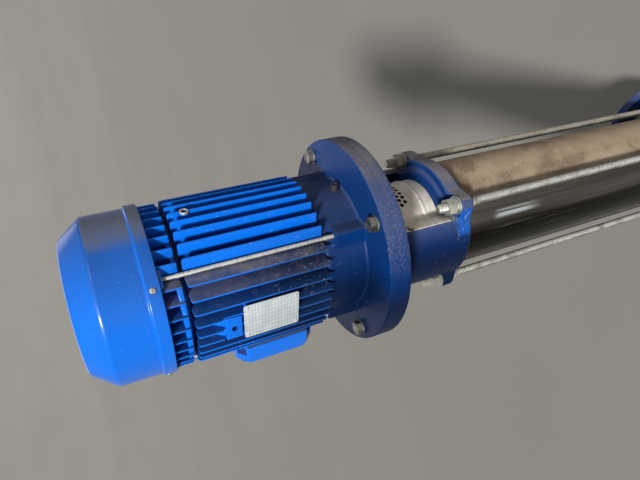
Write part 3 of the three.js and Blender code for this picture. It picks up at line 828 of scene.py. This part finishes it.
def makeMotorFrame():
    m = motorFrame
    half = m.pitch * (m.count - 1) / 2 + m.coreMargin
    banks = finBanks(m.low + 0.4, m.high, m.reach, m.endRound)
    banks[180] = cutFrom(banks[180], block(*m.plateRoom), block(*m.padRoom))
    banks[90] = cutFrom(banks[90], block(*m.boxRoom))
    bossX, bossHeight, bossRadius, bossHole = m.boss
    top = m.bossReach
    bossRoom = [post(m.bossRoom, top - 2, top + 7), post(bossHole, top - 18, top + 7)]
    bossRoom = [shifted(spunTo(room, 90, "X"), bossX, 0, bossHeight) for room in bossRoom]
    banks[270] = cutFrom(banks[270], *bossRoom)
    holeY, holeHeight, holeRadius = m.padHole
    padHole = shifted(alongX(post(holeRadius, -116, -86)), 0, holeY, holeHeight)
    pad = cutFrom(block(*m.pad, 1.6), padHole)
    (padX, padInner), _, (_, padTop) = m.pad
    webReach, webDrop, webLow, webHigh = m.padWeb
    web = slab([(padTop - 3, padX + 1), (padTop - 3, padInner), (padTop + webReach, padInner),
                (padTop + webReach, padX + webDrop, 3)], webLow, webHigh)
    moved(web, Matrix(((0, 1, 0, 0), (0, 0, 1, 0), (1, 0, 0, 0), (0, 0, 0, 1))))
    boss = alongY(turned([(bossRadius, -top, 0.8), (bossRadius, -m.bossFloor),
                          (bossRadius + 2, -m.bossRoot), (0, -m.bossRoot), (0, -m.bossFloor),
                          (bossHole, -m.bossFloor), (bossHole, -top)], 32))
    seatHalf = m.boxSeatHalf
    seat = alongY(roundedSlab(seatHalf, seatHalf, 12, m.root, m.boxRoom[1][0]))
    parts = [
        post(m.core, m.low, m.high, steps=96),
        block((-half, half), (-half, half), (m.low, m.high - 8), 3),
        turned([(m.ringBore, m.ringLow - 5), (m.ringRadius - 9, m.ringLow - 5, 5),
                (m.ringRadius - 4, m.ringLow, 3), (m.ringRadius, m.ringLow + 1, 1.5),
                (m.ringRadius, m.ringHigh, 1), (m.ringBore, m.ringHigh)]),
        block(*m.plateSeat, 1), pad, web,
        shifted(boss, bossX, 0, bossHeight), shifted(seat, 0, 0, m.boxCentre), *banks.values(),
    ]
    finishPiece(parts, "motorFrame", "motor_paint", ["motor_frame"], 40, finEnamel)
    ringRadius, ringHole, ringLow, ringTop = m.bossRing
    ring = alongY(turned([(ringRadius, -ringTop, 1.2), (ringRadius, -ringLow), (ringHole, -ringLow),
                          (ringHole, -ringTop, 0.4)], 32))
    finishPiece([shifted(ring, bossX, 0, bossHeight)], "bossRing", "zinc", material=rodZinc)


makeMotorFrame()
print("motor frame made")


# Fan-end shield, with its own fins, a ring and four lugs for the through bolts
fanShield = Settings(
    neck=82, neckLow=237, finLow=242.8, high=272, reach=106.5, finRound=4,
    ringRadius=96, ringTop=248, bridge=104, bridgeTop=249, bridgeHalf=65,
    lugLow=262, lugHigh=276, lugReach=108.2, lugHalf=11,
    bossRadius=34, bossTop=276, core=60, bore=15, past=120)


def makeFanShield():
    s = fanShield
    parts = [
        post(s.neck, s.neckLow, s.high - 1, steps=96),
        drum(s.ringRadius, s.finLow, s.ringTop, (0, 1, 1.5, 0), s.core),
        turned([(s.bore, s.high - 4), (s.bossRadius, s.high - 4),
                (s.bossRadius - 3, s.bossTop, 2), (s.bore, s.bossTop, 1)], 48),
        *finBanks(s.finLow, s.high, s.reach, s.finRound).values(),
    ]
    bridge = drum(s.bridge, s.finLow, s.bridgeTop, (0, 1, 1.5, 0), s.core)
    wide = (-s.bridgeHalf, s.bridgeHalf)
    past = (-s.past, s.past)
    heights = (s.finLow - 5, s.bridgeTop + 5)
    sides = combined("INTERSECT", bridge, [block(past, wide, heights)])
    parts.append(cutFrom(sides, block(wide, past, heights)))
    for angle in diagonals:
        lug = block((s.neck - 4, s.lugReach), (-s.lugHalf, s.lugHalf), (s.lugLow, s.lugHigh), 2)
        parts.append(spunTo(lug, angle))
    finishPiece(parts, "fanEndShield", "motor_paint", ["fan_end_shield"], 40, finEnamel)


makeFanShield()
print("fan-end shield made")


# Drive-end shield, a casting with a round flange, a barrel and four corner blocks
driveShield = Settings(
    flangeRadius=150, flangeLow=-15, edge=1.6, rimBore=105, barrel=94, top=60, shoulder=56,
    blockCorner=76.8, blockTop=46, grain=1.8, skinDrop=0.2, plug=(269, 11, 5.8))


def makeDriveShield():
    s = driveShield
    drop = s.skinDrop
    parts = [
        turned([(0, s.flangeLow + 2), (s.flangeRadius - 3, s.flangeLow + 2),
                (s.flangeRadius - 3, -drop), (s.barrel, -drop), (s.barrel, s.shoulder),
                (s.barrel - 4, s.top), (0, s.top)], 128),
        roundedSlab(s.blockCorner, s.blockCorner, 3, -drop - 1, s.blockTop),
    ]
    body = cast(gathered(parts), s.grain, 4)
    disc = drum(s.flangeRadius, s.flangeLow, 0, (0, 0.5, s.edge, 0), s.rimBore, 192)
    finishPiece([body, disc], "driveEndShield", "casting_paint", ["drive_end_shield"], 50)


def makeDrivePlug():
    angle, height, radius = driveShield.plug
    plug = turned([(0, -3), (radius + 1.2, -3), (radius + 1.2, 1.2, 0.5), (radius, 1.8, 0.3),
                   (radius, 6.4, 1.6), (radius * 0.55, 7.6, 0.5), (radius * 0.5, 5.2, 0.4),
                   (0, 5)], 32)
    shifted(alongX(plug), driveShield.barrel, 0, height)
    finishPiece([spunTo(plug, angle)], "drivePlug", "dark_plastic")


makeDriveShield()
makeDrivePlug()
print("drive-end shield made")


# Flange bolts with washers, and the long through bolts of the motor
flangeBolt = Settings(
    circle=132.5, flats=18.5, washer=11.2, washerThick=1.8, headTop=9.6, shank=6, low=-30, turn=17)
throughBolt = Settings(
    circle=100, radius=3, low=46, high=262, collar=3.5, collarHigh=14, threadLength=16, thread=2.58)


def makeFlangeBolts():
    b = flangeBolt
    for i, angle in enumerate(diagonals):
        parts = [
            drum(b.washer, 0, b.washerThick, (0, 0.4, 0.5, 0), steps=40),
            spunTo(hexagon(b.flats, b.washerThick, b.headTop), b.turn * i),
            turned([(0, b.headTop - 1), (b.flats * 0.4, b.headTop - 1),
                    (b.flats * 0.4, b.headTop + 0.25, 0.3), (b.flats * 0.33, b.headTop + 0.25, 0.3),
                    (b.flats * 0.33, b.headTop - 0.1), (0, b.headTop - 0.1)], 40),
            post(b.shank, b.low, b.washerThick),
        ]
        parts = [shifted(part, *onCircle(b.circle, angle), 0) for part in parts]
        finishPiece(parts, f"flangeBolt{i + 1}", "zinc", [f"flange_bolt_{i + 1}"])


def makeThroughBolts():
    b = throughBolt
    r = b.radius
    profile = [(0, b.low), (b.collar, b.low, 0.5), (b.collar, b.low + b.collarHigh, 0.8),
               (r, b.low + b.collarHigh + 0.5), (r, b.high - b.threadLength),
               (b.thread, b.high - b.threadLength + 1), (b.thread, b.high), (0, b.high)]
    for i, angle in enumerate(diagonals):
        shape = shifted(turned(profile, 32), *onCircle(b.circle, angle), 0)
        finishPiece([shape], f"throughBolt{i + 1}", "zinc", [f"through_bolt_{i + 1}"], 35, rodZinc)


makeFlangeBolts()
makeThroughBolts()
print("motor bolts made")


# Pump head, one casting: motor flange, two curved columns, floor and a squared foot for the rods
pumpHead = Settings(
    flangeRadius=150, flangeTop=-15, flangeBottom=-31, edge=1.8, rimBore=110, skinDrop=0.3,
    column=96, columnHalf=52, cavity=84, flangeHole=62, floorTop=-140, floorBottom=-165,
    ring=84, ringBottom=-170, foot=82, footCorner=9, collar=95, collarTop=-146, seat=-151,
    bottom=-172, spot=17, rodCircle=98,
    rodHole=7.4, sleeveRoom=84.3, shaftHole=13, grain=2.0)


def makePumpHead():
    h = pumpHead
    drop = h.skinDrop
    wide = h.flangeRadius + 10
    windows = [block((-wide, wide), span, (h.bottom - 1, h.flangeBottom + drop))
               for span in ((h.columnHalf, wide), (-wide, -h.columnHalf))]
    columns = cutFrom(
        post(h.column, h.bottom, h.flangeTop - 2, steps=128), *windows,
        post(h.cavity, h.floorTop, h.flangeBottom - 2, steps=96))
    foot = roundedSlab(h.foot, h.foot, h.footCorner, h.bottom, h.seat)
    collar = drum(h.collar, h.bottom, h.collarTop, (0, 2, 2, 0), steps=128)
    ring = turned([(0, h.ringBottom), (h.ring, h.ringBottom), (h.ring, h.floorTop - 3),
                   (h.ring - 6, h.floorTop), (0, h.floorTop)], 96)
    disc = drum(h.flangeRadius - 3, h.flangeBottom + drop, h.flangeTop - 1, steps=128)
    whole = joined(columns, foot, collar, ring, disc)
    tools = [
        post(h.flangeHole, h.floorTop + 40, h.flangeTop + 1, steps=96),
        post(h.sleeveRoom, h.bottom - 1, h.floorBottom, steps=128),
        post(h.shaftHole, h.floorBottom - 1, h.floorTop + 1),
    ]
    for angle in diagonals:
        place = onCircle(h.rodCircle, angle)
        tools.append(post(h.spot, h.seat, h.floorTop + 6, *place))
        tools.append(post(h.rodHole, h.bottom - 1, h.seat + 1, *place))
    body = cast(cutFrom(whole, *tools), h.grain, 4)
    rim = drum(h.flangeRadius, h.flangeBottom, h.flangeTop, (0, h.edge, 0.4, 0), h.rimBore, 192)
    finishPiece([body, rim], "pumpHead", "casting_paint", ["pump_head"], 50)


makePumpHead()
print("pump head made")


# Coupling guards: bent perforated sheets with a bead, and a lip held to one column by a screw
guard = Settings(
    radius=66, wall=1, low=-139.2, high=-31.3, bead=-119.5, beadHalf=2.6, beadRise=1.5, near=220,
    far=325, steps=42, lip=((-64.6, -52.3), (-66.2, -53), (-79.3, -53)), hole=3.2, rows=8,
    firstRow=-95.5, rowPitch=7.6, holeAngle=271.6, holeStep=7.75, holesHalf=3, screw=(-74.5, -73),
    screwRadius=4.2)


# The arc is spun from one corner, its lip is drawn out of that corner, and the whole line is
# drawn upwards row by row. The rows at the bead swell a little.
def makeGuard(name, node, turn):
    g = guard
    shape = bmesh.new()
    corner = shape.verts.new((*onCircle(g.radius, g.near), g.low))
    spin(shape, [corner], radians(g.far - g.near), g.steps, False)
    for x, y in g.lip:
        corner = bmesh.ops.extrude_vert_indiv(shape, verts=[corner])["verts"][0]
        corner.co = (x, y, g.low)
    line = list(shape.edges)
    height, swell = g.low, 1.0
    bead = [(g.bead + g.beadHalf * cos(radians(180 - 30 * k)), sin(radians(30 * k)))
            for k in range(7)]
    for top, rise in [*bead, (-80, 0), (g.high, 0)]:
        drawn = bmesh.ops.extrude_edge_only(shape, edges=line)["geom"]
        verts = [item for item in drawn if isinstance(item, bmesh.types.BMVert)]
        line = [item for item in drawn if isinstance(item, bmesh.types.BMEdge)]
        bmesh.ops.translate(shape, verts=verts, vec=(0, 0, top - height))
        wanted = 1 + g.beadRise * rise / g.radius
        arc = [vert for vert in verts if vert.co.xy.length < g.radius + g.beadRise + 0.2]
        bmesh.ops.scale(shape, verts=arc, vec=(wanted / swell, wanted / swell, 1))
        height, swell = top, wanted
    bmesh.ops.recalc_face_normals(shape, faces=shape.faces)
    bmesh.ops.solidify(shape, geom=shape.faces, thickness=g.wall)
    holes = []
    for row in range(g.rows):
        for k in range(-g.holesHalf, g.holesHalf + 1):
            angle = g.holeAngle + (k - (0.5 if row % 2 else 0)) * g.holeStep
            hole = shifted(alongX(post(g.hole, g.radius - 6, g.radius + 6, steps=14)), 0, 0,
                           g.firstRow + row * g.rowPitch)
            holes.append(spunTo(hole, angle))
    screwX, screwHeight = g.screw
    screw = spunTo(screwHead(g.screwRadius, 2.2), 90, "X")
    parts = [cutFrom(shape, *holes), shifted(screw, screwX, g.lip[1][1] - 0.2, screwHeight)]
    finishPiece([spunTo(part, turn) for part in parts], name, "stainless", [node], 30, guardSheet)


makeGuard("guardFront", "coupling_guard_front", 0)
makeGuard("guardBack", "coupling_guard_back", 180)
print("guards made")


# Split coupling, shafts and seal behind the guards
coupling = Settings(
    radius=34, low=-124, high=-50, bore=19.3, split=0.8, screwX=26, screwRadius=4,
    screwHeights=(-62, -80, -98, -114))
shafts = Settings(
    motor=19, motorEnd=-95, shoulder=262, fanSeat=14, fanEnd=300, pump=8, pumpTop=-97, pumpLow=-165)
seal = Settings(
    bore=8.3, low=-140, radius=23, step=-130, collar=15, top=-124.3)


def makeCoupling():
    c = coupling
    for side, turn in (("Front", 0), ("Back", 180)):
        whole = drum(c.radius, c.low, c.high, (1, 2, 2, 1), c.bore, 64)
        tools = [block((-40, 40), (-c.split, 40), (c.low - 1, c.high + 1))]
        screws = []
        for height in c.screwHeights:
            for x in (-c.screwX, c.screwX):
                hole = spunTo(post(c.screwRadius + 1, 0, 30), 90, "X")
                tools.append(shifted(hole, x, -14, height))
                cap = cutFrom(post(c.screwRadius, 0, 8), post(c.screwRadius * 0.55, 4, 9, steps=6))
                screws.append(shifted(spunTo(cap, 90, "X"), x, -12, height))
        half = cutFrom(whole, *tools)
        finishPiece([spunTo(part, turn) for part in (half, *screws)], f"coupling{side}", "zinc",
                    [f"coupling_half_{side.lower()}"])


def makeShafts():
    s = shafts
    motor = turned([(0, s.motorEnd), (s.motor, s.motorEnd, 1.5), (s.motor, s.shoulder, 1),
                    (s.fanSeat, s.shoulder), (s.fanSeat, s.fanEnd, 1), (0, s.fanEnd)], 64)
    finishPiece([motor], "motorShaft", "shaft_steel", ["motor_shaft"])
    pump = drum(s.pump, s.pumpLow, s.pumpTop, (0, 0, 1, 0), steps=48)
    finishPiece([pump], "pumpShaft", "shaft_steel", ["pump_shaft"])
    ring = turned([(seal.bore, seal.low), (seal.radius, seal.low), (seal.radius, seal.step, 1.5),
                   (seal.collar, seal.step, 1), (seal.collar, seal.top, 1),
                   (seal.bore, seal.top)], 64)
    finishPiece([ring], "shaftSeal", "shaft_steel", ["shaft_seal"])


makeCoupling()
makeShafts()
print("coupling and shafts made")


# Tie rods with threaded ends, and their nuts and washers
tieRod = Settings(
    circle=98, radius=7, shank=6, low=20, lowThreadTop=56, rings=(300, 500), threadLow=-182,
    top=-119, pitch=2, depth=0.9)
tieNut = Settings(
    seat=-151, washer=14, washerThick=2.4, spring=11.6, springThick=3.1, flats=22, height=12.8,
    start=11, turn=23)


def makeTieRods():
    r = tieRod
    n = tieNut
    for i, angle in enumerate(diagonals):
        place = onCircle(r.circle, angle)
        low, high = r.threadLow + face, r.top + face
        profile = [(0, r.low), (r.radius, r.low), (r.radius, r.lowThreadTop),
                   (r.shank, r.lowThreadTop + 1.5), *[(r.shank, height) for height in r.rings],
                   (r.shank, low - 1.5),
                   *threads(r.radius, low, high - 2, r.pitch, r.depth),
                   (r.radius - r.depth, high - 1.6, 0.2), (r.radius - 2.2, high, 0.6), (0, high)]
        rod = shifted(turned(profile, 32, 2), *place, 0)
        finishPiece([rod], f"tieRod{i + 1}", "zinc", [f"tie_rod_{i + 1}"], 50, rodZinc, lift=0)
        springLow = n.seat + n.washerThick
        nutLow = springLow + n.springThick
        inner = r.radius + 0.3
        parts = [
            drum(n.washer, n.seat, springLow, (0, 0.5, 0.7, 0), inner, 40),
            drum(n.spring, springLow + 0.1, nutLow - 0.1, (0, 0.4, 0.4, 0), inner, 40),
            spunTo(hexagon(n.flats, nutLow, nutLow + n.height, True), n.start + n.turn * i),
        ]
        parts = [shifted(part, *place, 0) for part in parts]
        finishPiece(parts, f"tieNut{i + 1}", "zinc", [f"tie_rod_nut_{i + 1}"], 35, rodZinc)


makeTieRods()
print("tie rods made")


# Sleeve with its bead, and the base with two ports in line
sleeve = Settings(
    radius=84, wall=2.5, low=150, bead=188, beadRise=2, beadHalf=4, rings=(400, 600), top=-165)
base = Settings(
    radius=88, low=36, high=150, portHeight=90, pipe=36, bore=25, boreEnd=40, face=150, collar=46,
    collarThick=6, grain=2.0)


def makeSleeve():
    s = sleeve
    r = s.radius
    top = face + s.top
    shape = turned([
        (r - s.wall, s.low), (r, s.low), (r, s.bead - s.beadHalf, 2),
        (r + s.beadRise, s.bead, 3), (r, s.bead + s.beadHalf, 2),
        *[(r, height) for height in s.rings], (r, top), (r - s.wall, top)], 160)
    finishPiece([shape], "outerSleeve", "stainless", ["outer_sleeve"], 35, sleeveSteel, lift=0)


def makeBase():
    b = base
    high = b.portHeight
    body = joined(
        drum(b.radius, b.low, b.high, (0, 2, 4, 0), steps=128),
        *[shifted(alongX(post(b.pipe, *span, steps=64)), 0, 0, high)
          for span in ((0, b.face - 2), (-b.face + 2, 0))],
    )
    bores = [shifted(alongX(post(b.bore, *span, steps=64)), 0, 0, high)
             for span in ((b.boreEnd, b.face), (-b.face, -b.boreEnd))]
    parts = [cast(cutFrom(body, *bores), b.grain, 5)]
    for side in (-1, 1):
        collar = turned([
            (b.bore, b.face - b.collarThick), (b.collar, b.face - b.collarThick, 1),
            (b.collar, b.face, 1), (b.bore + 12, b.face, 0.3), (b.bore + 11.4, b.face - 0.6, 0.2),
            (b.bore + 10, b.face - 0.6, 0.2), (b.bore + 9.4, b.face, 0.3),
            (b.bore, b.face, 1.2)])
        parts.append(shifted(spunTo(collar, 90 * side, "Y"), 0, 0, high))
    finishPiece(parts, "pumpBase", "stainless", ["pump_base"], 40, lift=0)


makeSleeve()
makeBase()
print("sleeve and base made")


# Loose port flanges, foot plate and drain plug
portFlange = Settings(
    radius=82.5, inner=126, outer=144, hole=36.3, boltCircle=62.5, bolt=9, grain=1.7)
footPlate = Settings(
    halfX=100, halfY=128, corner=22, thick=22, seat=92, seatTop=36, rodBoss=17, rodBossTop=46,
    rodCircle=98, holeX=65, holeY=107.5, hole=7, holePad=15, padTop=24, grain=2.2)
drainPlug = Settings(
    height=60, start=88, neck=11, collar=14, flats=24, end=102)


def makePortFlange(name, node, side):
    p = portFlange
    disc = drum(p.radius, p.inner, p.outer, (0, 2, 2, 0), p.hole, 128)
    holes = [post(p.bolt, p.inner - 1, p.outer + 1, *onCircle(p.boltCircle, angle))
             for angle in diagonals]
    shape = cast(cutFrom(disc, *holes), p.grain, 3)
    shifted(spunTo(shape, 90 * side, "Y"), 0, 0, base.portHeight)
    finishPiece([shape], name, "casting_paint", [node], 50, lift=0)


def makeFootPlate():
    f = footPlate
    parts = [
        roundedSlab(f.halfX, f.halfY, f.corner, 0, f.thick),
        drum(f.seat, 2, f.seatTop),
        *[post(f.rodBoss, 2, f.rodBossTop, *onCircle(f.rodCircle, angle)) for angle in diagonals],
    ]
    places = fourPlaces(f.holeX, f.holeY)
    parts += [post(f.holePad, 2, f.padTop, *place) for place in places]
    whole = joined(*parts)
    tools = [post(f.hole, -1, f.padTop + 1, *place) for place in places]
    tools.append(post(base.radius + 0.3, f.seatTop, f.rodBossTop + 1, steps=96))
    plate = cast(cutFrom(whole, *tools), f.grain, 4)
    finishPiece([plate], "footPlate", "casting_paint", ["foot_plate"], 50, lift=0)


def makeDrainPlug():
    d = drainPlug
    parts = [post(d.neck, d.start - 2, d.end - 2),
             drum(d.collar, d.start, d.start + 3, (0, 0.6, 0.8, 0), steps=40),
             hexagon(d.flats, d.start + 3, d.end)]
    shape = shifted(spunTo(gathered(parts), 90, "X"), 0, 0, d.height)
    finishPiece([shape], "drainPlug", "zinc", ["drain_plug"], lift=0)


makePortFlange("suctionFlange", "suction_flange", -1)
makePortFlange("dischargeFlange", "discharge_flange", 1)
makeFootPlate()
makeDrainPlug()
print("foot made")


# Rating plate with four rivets
ratingPlate = Settings(
    seat=106, thick=1.2, low=108.5, high=180.2, yLow=-29.5, yHigh=24.5, corner=3, rivetInset=4.5,
    rivet=2.2)


def makeRatingPlate():
    p = ratingPlate
    halfY = (p.yHigh - p.yLow) / 2
    halfZ = (p.high - p.low) / 2
    sheet = roundedSlab(halfZ, halfY, p.corner, 0, p.thick)
    soften(sheet, sharpEdges(sheet, 60), 0.25, 2)
    parts = [sheet]
    for place in fourPlaces(halfZ - p.rivetInset, halfY - p.rivetInset):
        rivet = turned([(0, 0), (p.rivet, 0), (p.rivet, 0.5, 0.3), (p.rivet * 0.5, 1, 0.5),
                        (0, 1.1)], 20)
        parts.append(shifted(rivet, *place, p.thick))
    shape = gathered(parts)
    moved(shape, Matrix(((0, 0, -1, 0), (0, -1, 0, 0), (-1, 0, 0, 0), (0, 0, 0, 1))))
    shifted(shape, -p.seat, (p.yHigh + p.yLow) / 2, (p.high + p.low) / 2)
    finishPiece([shape], "ratingPlate", "alloy_plate", ["rating_plate"])


# Terminal box on the +Y side, with screw wells at its corners, a lid and a cable gland
terminalBox = Settings(
    half=60, corner=15, near=104, lidStart=132, end=140, lidInset=3, centre=118, well=8,
    wellPlace=50, wellDeep=16, seam=0.8, screw=4.2, screwPlace=45)
gland = Settings(
    start=60, neck=67, hexEnd=77, end=90, flats=27, body=14, cap=12, bore=6, y=118)


def cutCornerSlab(half, corner, near, far, rounding):
    inner = half - corner
    quarter = ((half, inner), (inner, half))
    outline = []
    for turn in range(4):
        outline += [(x, y, 3) for x, y in quarter]
        quarter = [(-y, x) for x, y in quarter]
    shape = slab(outline, near, far, 3)
    rims = [edge for edge in shape.edges if edge.verts[0].co.z == edge.verts[1].co.z]
    soften(shape, rims, rounding, 3)
    return alongY(shape)


def makeTerminalBox():
    t = terminalBox
    body = cutCornerSlab(t.half, t.corner, t.near, t.lidStart - t.seam, 1.5)
    wells = [shifted(alongY(post(t.well, t.near - 1, t.near + t.wellDeep)), x, 0, z)
             for x, z in fourPlaces(t.wellPlace, t.wellPlace)]
    shape = cutFrom(body, *wells)
    finishPiece([shifted(shape, 0, 0, t.centre)], "terminalBox", "motor_paint", ["terminal_box"])
    lid = [cutCornerSlab(t.half - t.lidInset, t.corner, t.lidStart, t.end, 2.5),
           cutCornerSlab(t.half - t.lidInset - 2, t.corner, t.lidStart - 2, t.lidStart + 1, 0.3)]
    for x, z in fourPlaces(t.screwPlace, t.screwPlace):
        seat = turned([(0, 0), (t.screw + 2.5, 0), (t.screw + 1.5, 1.2, 0.5), (0, 1.2)], 32)
        lid.append(shifted(alongY(seat), x, t.end - 0.6, z))
    lid = [shifted(part, 0, 0, t.centre) for part in lid]
    finishPiece(lid, "terminalLid", "motor_paint", ["terminal_box_lid"])


def makeLidScrews():
    t = terminalBox
    screws = [shifted(spunTo(screwHead(t.screw, 1.6), -90, "X"), x, t.end + 0.4, t.centre + z)
              for x, z in fourPlaces(t.screwPlace, t.screwPlace)]
    finishPiece(screws, "lidScrews", "zinc")


def makeGland():
    g = gland
    parts = [
        drum(g.body, g.start, g.neck, (0, 0, 1, 0), steps=40),
        hexagon(g.flats, g.neck, g.hexEnd, True),
        turned([(g.bore, g.hexEnd - 2), (g.cap, g.hexEnd - 2), (g.cap, g.end - 3, 2),
                (g.cap - 3, g.end, 1.5), (g.bore, g.end, 1)], 40),
        post(g.bore + 0.5, g.hexEnd - 2, g.end - 4),
    ]
    shape = shifted(alongX(gathered(parts)), 0, g.y, terminalBox.centre)
    finishPiece([shape], "cableGland", "dark_plastic", ["cable_gland"])


makeRatingPlate()
makeTerminalBox()
makeLidScrews()
makeGland()
print("plate and terminal box made")


# Cooling fan under the cowl
fan = Settings(
    hub=24, bore=14.3, reach=96, low=280, high=316, disc=3, blades=9, bladeThick=3)


def makeFan():
    f = fan
    parts = [
        turned([(f.bore, f.low), (f.hub, f.low), (f.hub - 2, f.high, 2), (f.bore, f.high, 1)], 64),
        drum(f.reach, f.low, f.low + f.disc, (0, 1, 1, 0), f.hub - 3),
    ]
    for i in range(f.blades):
        blade = slab([(f.hub - 4, f.low + 1), (f.reach - 1, f.low + 1, 1),
                      (f.reach - 3, f.high - 8, 6), (f.hub - 4, f.high - 5, 2)],
                     -f.bladeThick / 2, f.bladeThick / 2)
        spunTo(blade, 90, "X")
        parts.append(spunTo(blade, i * 360 / f.blades))
    finishPiece(parts, "coolingFan", "dark_plastic", ["cooling_fan"])


makeFan()
print("fan made")


# Stage: a pale floor that rises into a pale wall all round, under soft even light
stage = Settings(
    profile=[(0, 0), (6000, 0), (12000, 700, 4000), (20000, 3000, 6000), (26000, 9500)],
    tones=((0.188, 0.181, 0.166), (0.178, 0.171, 0.157)), air=(0.98, 1.0, 1.04), airStrength=0.16)
lamps = {
    "windowLamp": ((-0.74, -0.17, 0.65), 9, 4.6, (1.0, 0.985, 0.96)),
    "sideLamp": ((-0.12, -0.9, 0.42), 30, 0.38, (1.0, 0.97, 0.93)),
    "backLamp": ((0.62, 0.45, 0.64), 60, 0.9, (1.0, 0.98, 0.96)),
}


def makeStage():
    floor = moved(turned(stage.profile, 96, 8, sheet=True), Matrix.Scale(mm, 4))
    mesh = meshFrom(floor, "paleFloor")
    mesh.shade_smooth()
    finish = Finish("palePaper")
    tone = finish.mottled(finish.noise(0.7, 4, 0.55), 0.3, 0.7, *stage.tones)
    mesh.materials.append(finish.surface(Base_Color=tone, Roughness=0.85))
    added("paleFloor", mesh)


def makeLamp(name, source, softness, power, tone):
    data = bpy.data.lights.new(name, "SUN")
    data.angle = radians(softness)
    data.energy = power
    data.color = tone
    added(name, data).matrix_world = Vector(source).to_track_quat("Z", "Y").to_matrix().to_4x4()


def makeAir():
    world = bpy.data.worlds.new("paleAir")
    scene.world = world
    world.use_nodes = True
    background = world.node_tree.nodes["Background"]
    background.inputs["Color"].default_value = (*stage.air, 1)
    background.inputs["Strength"].default_value = stage.airStrength


makeStage()
for name, settings in lamps.items():
    makeLamp(name, *settings)
makeAir()
scene.view_settings.view_transform = "Standard"
print("stage and lamps made")
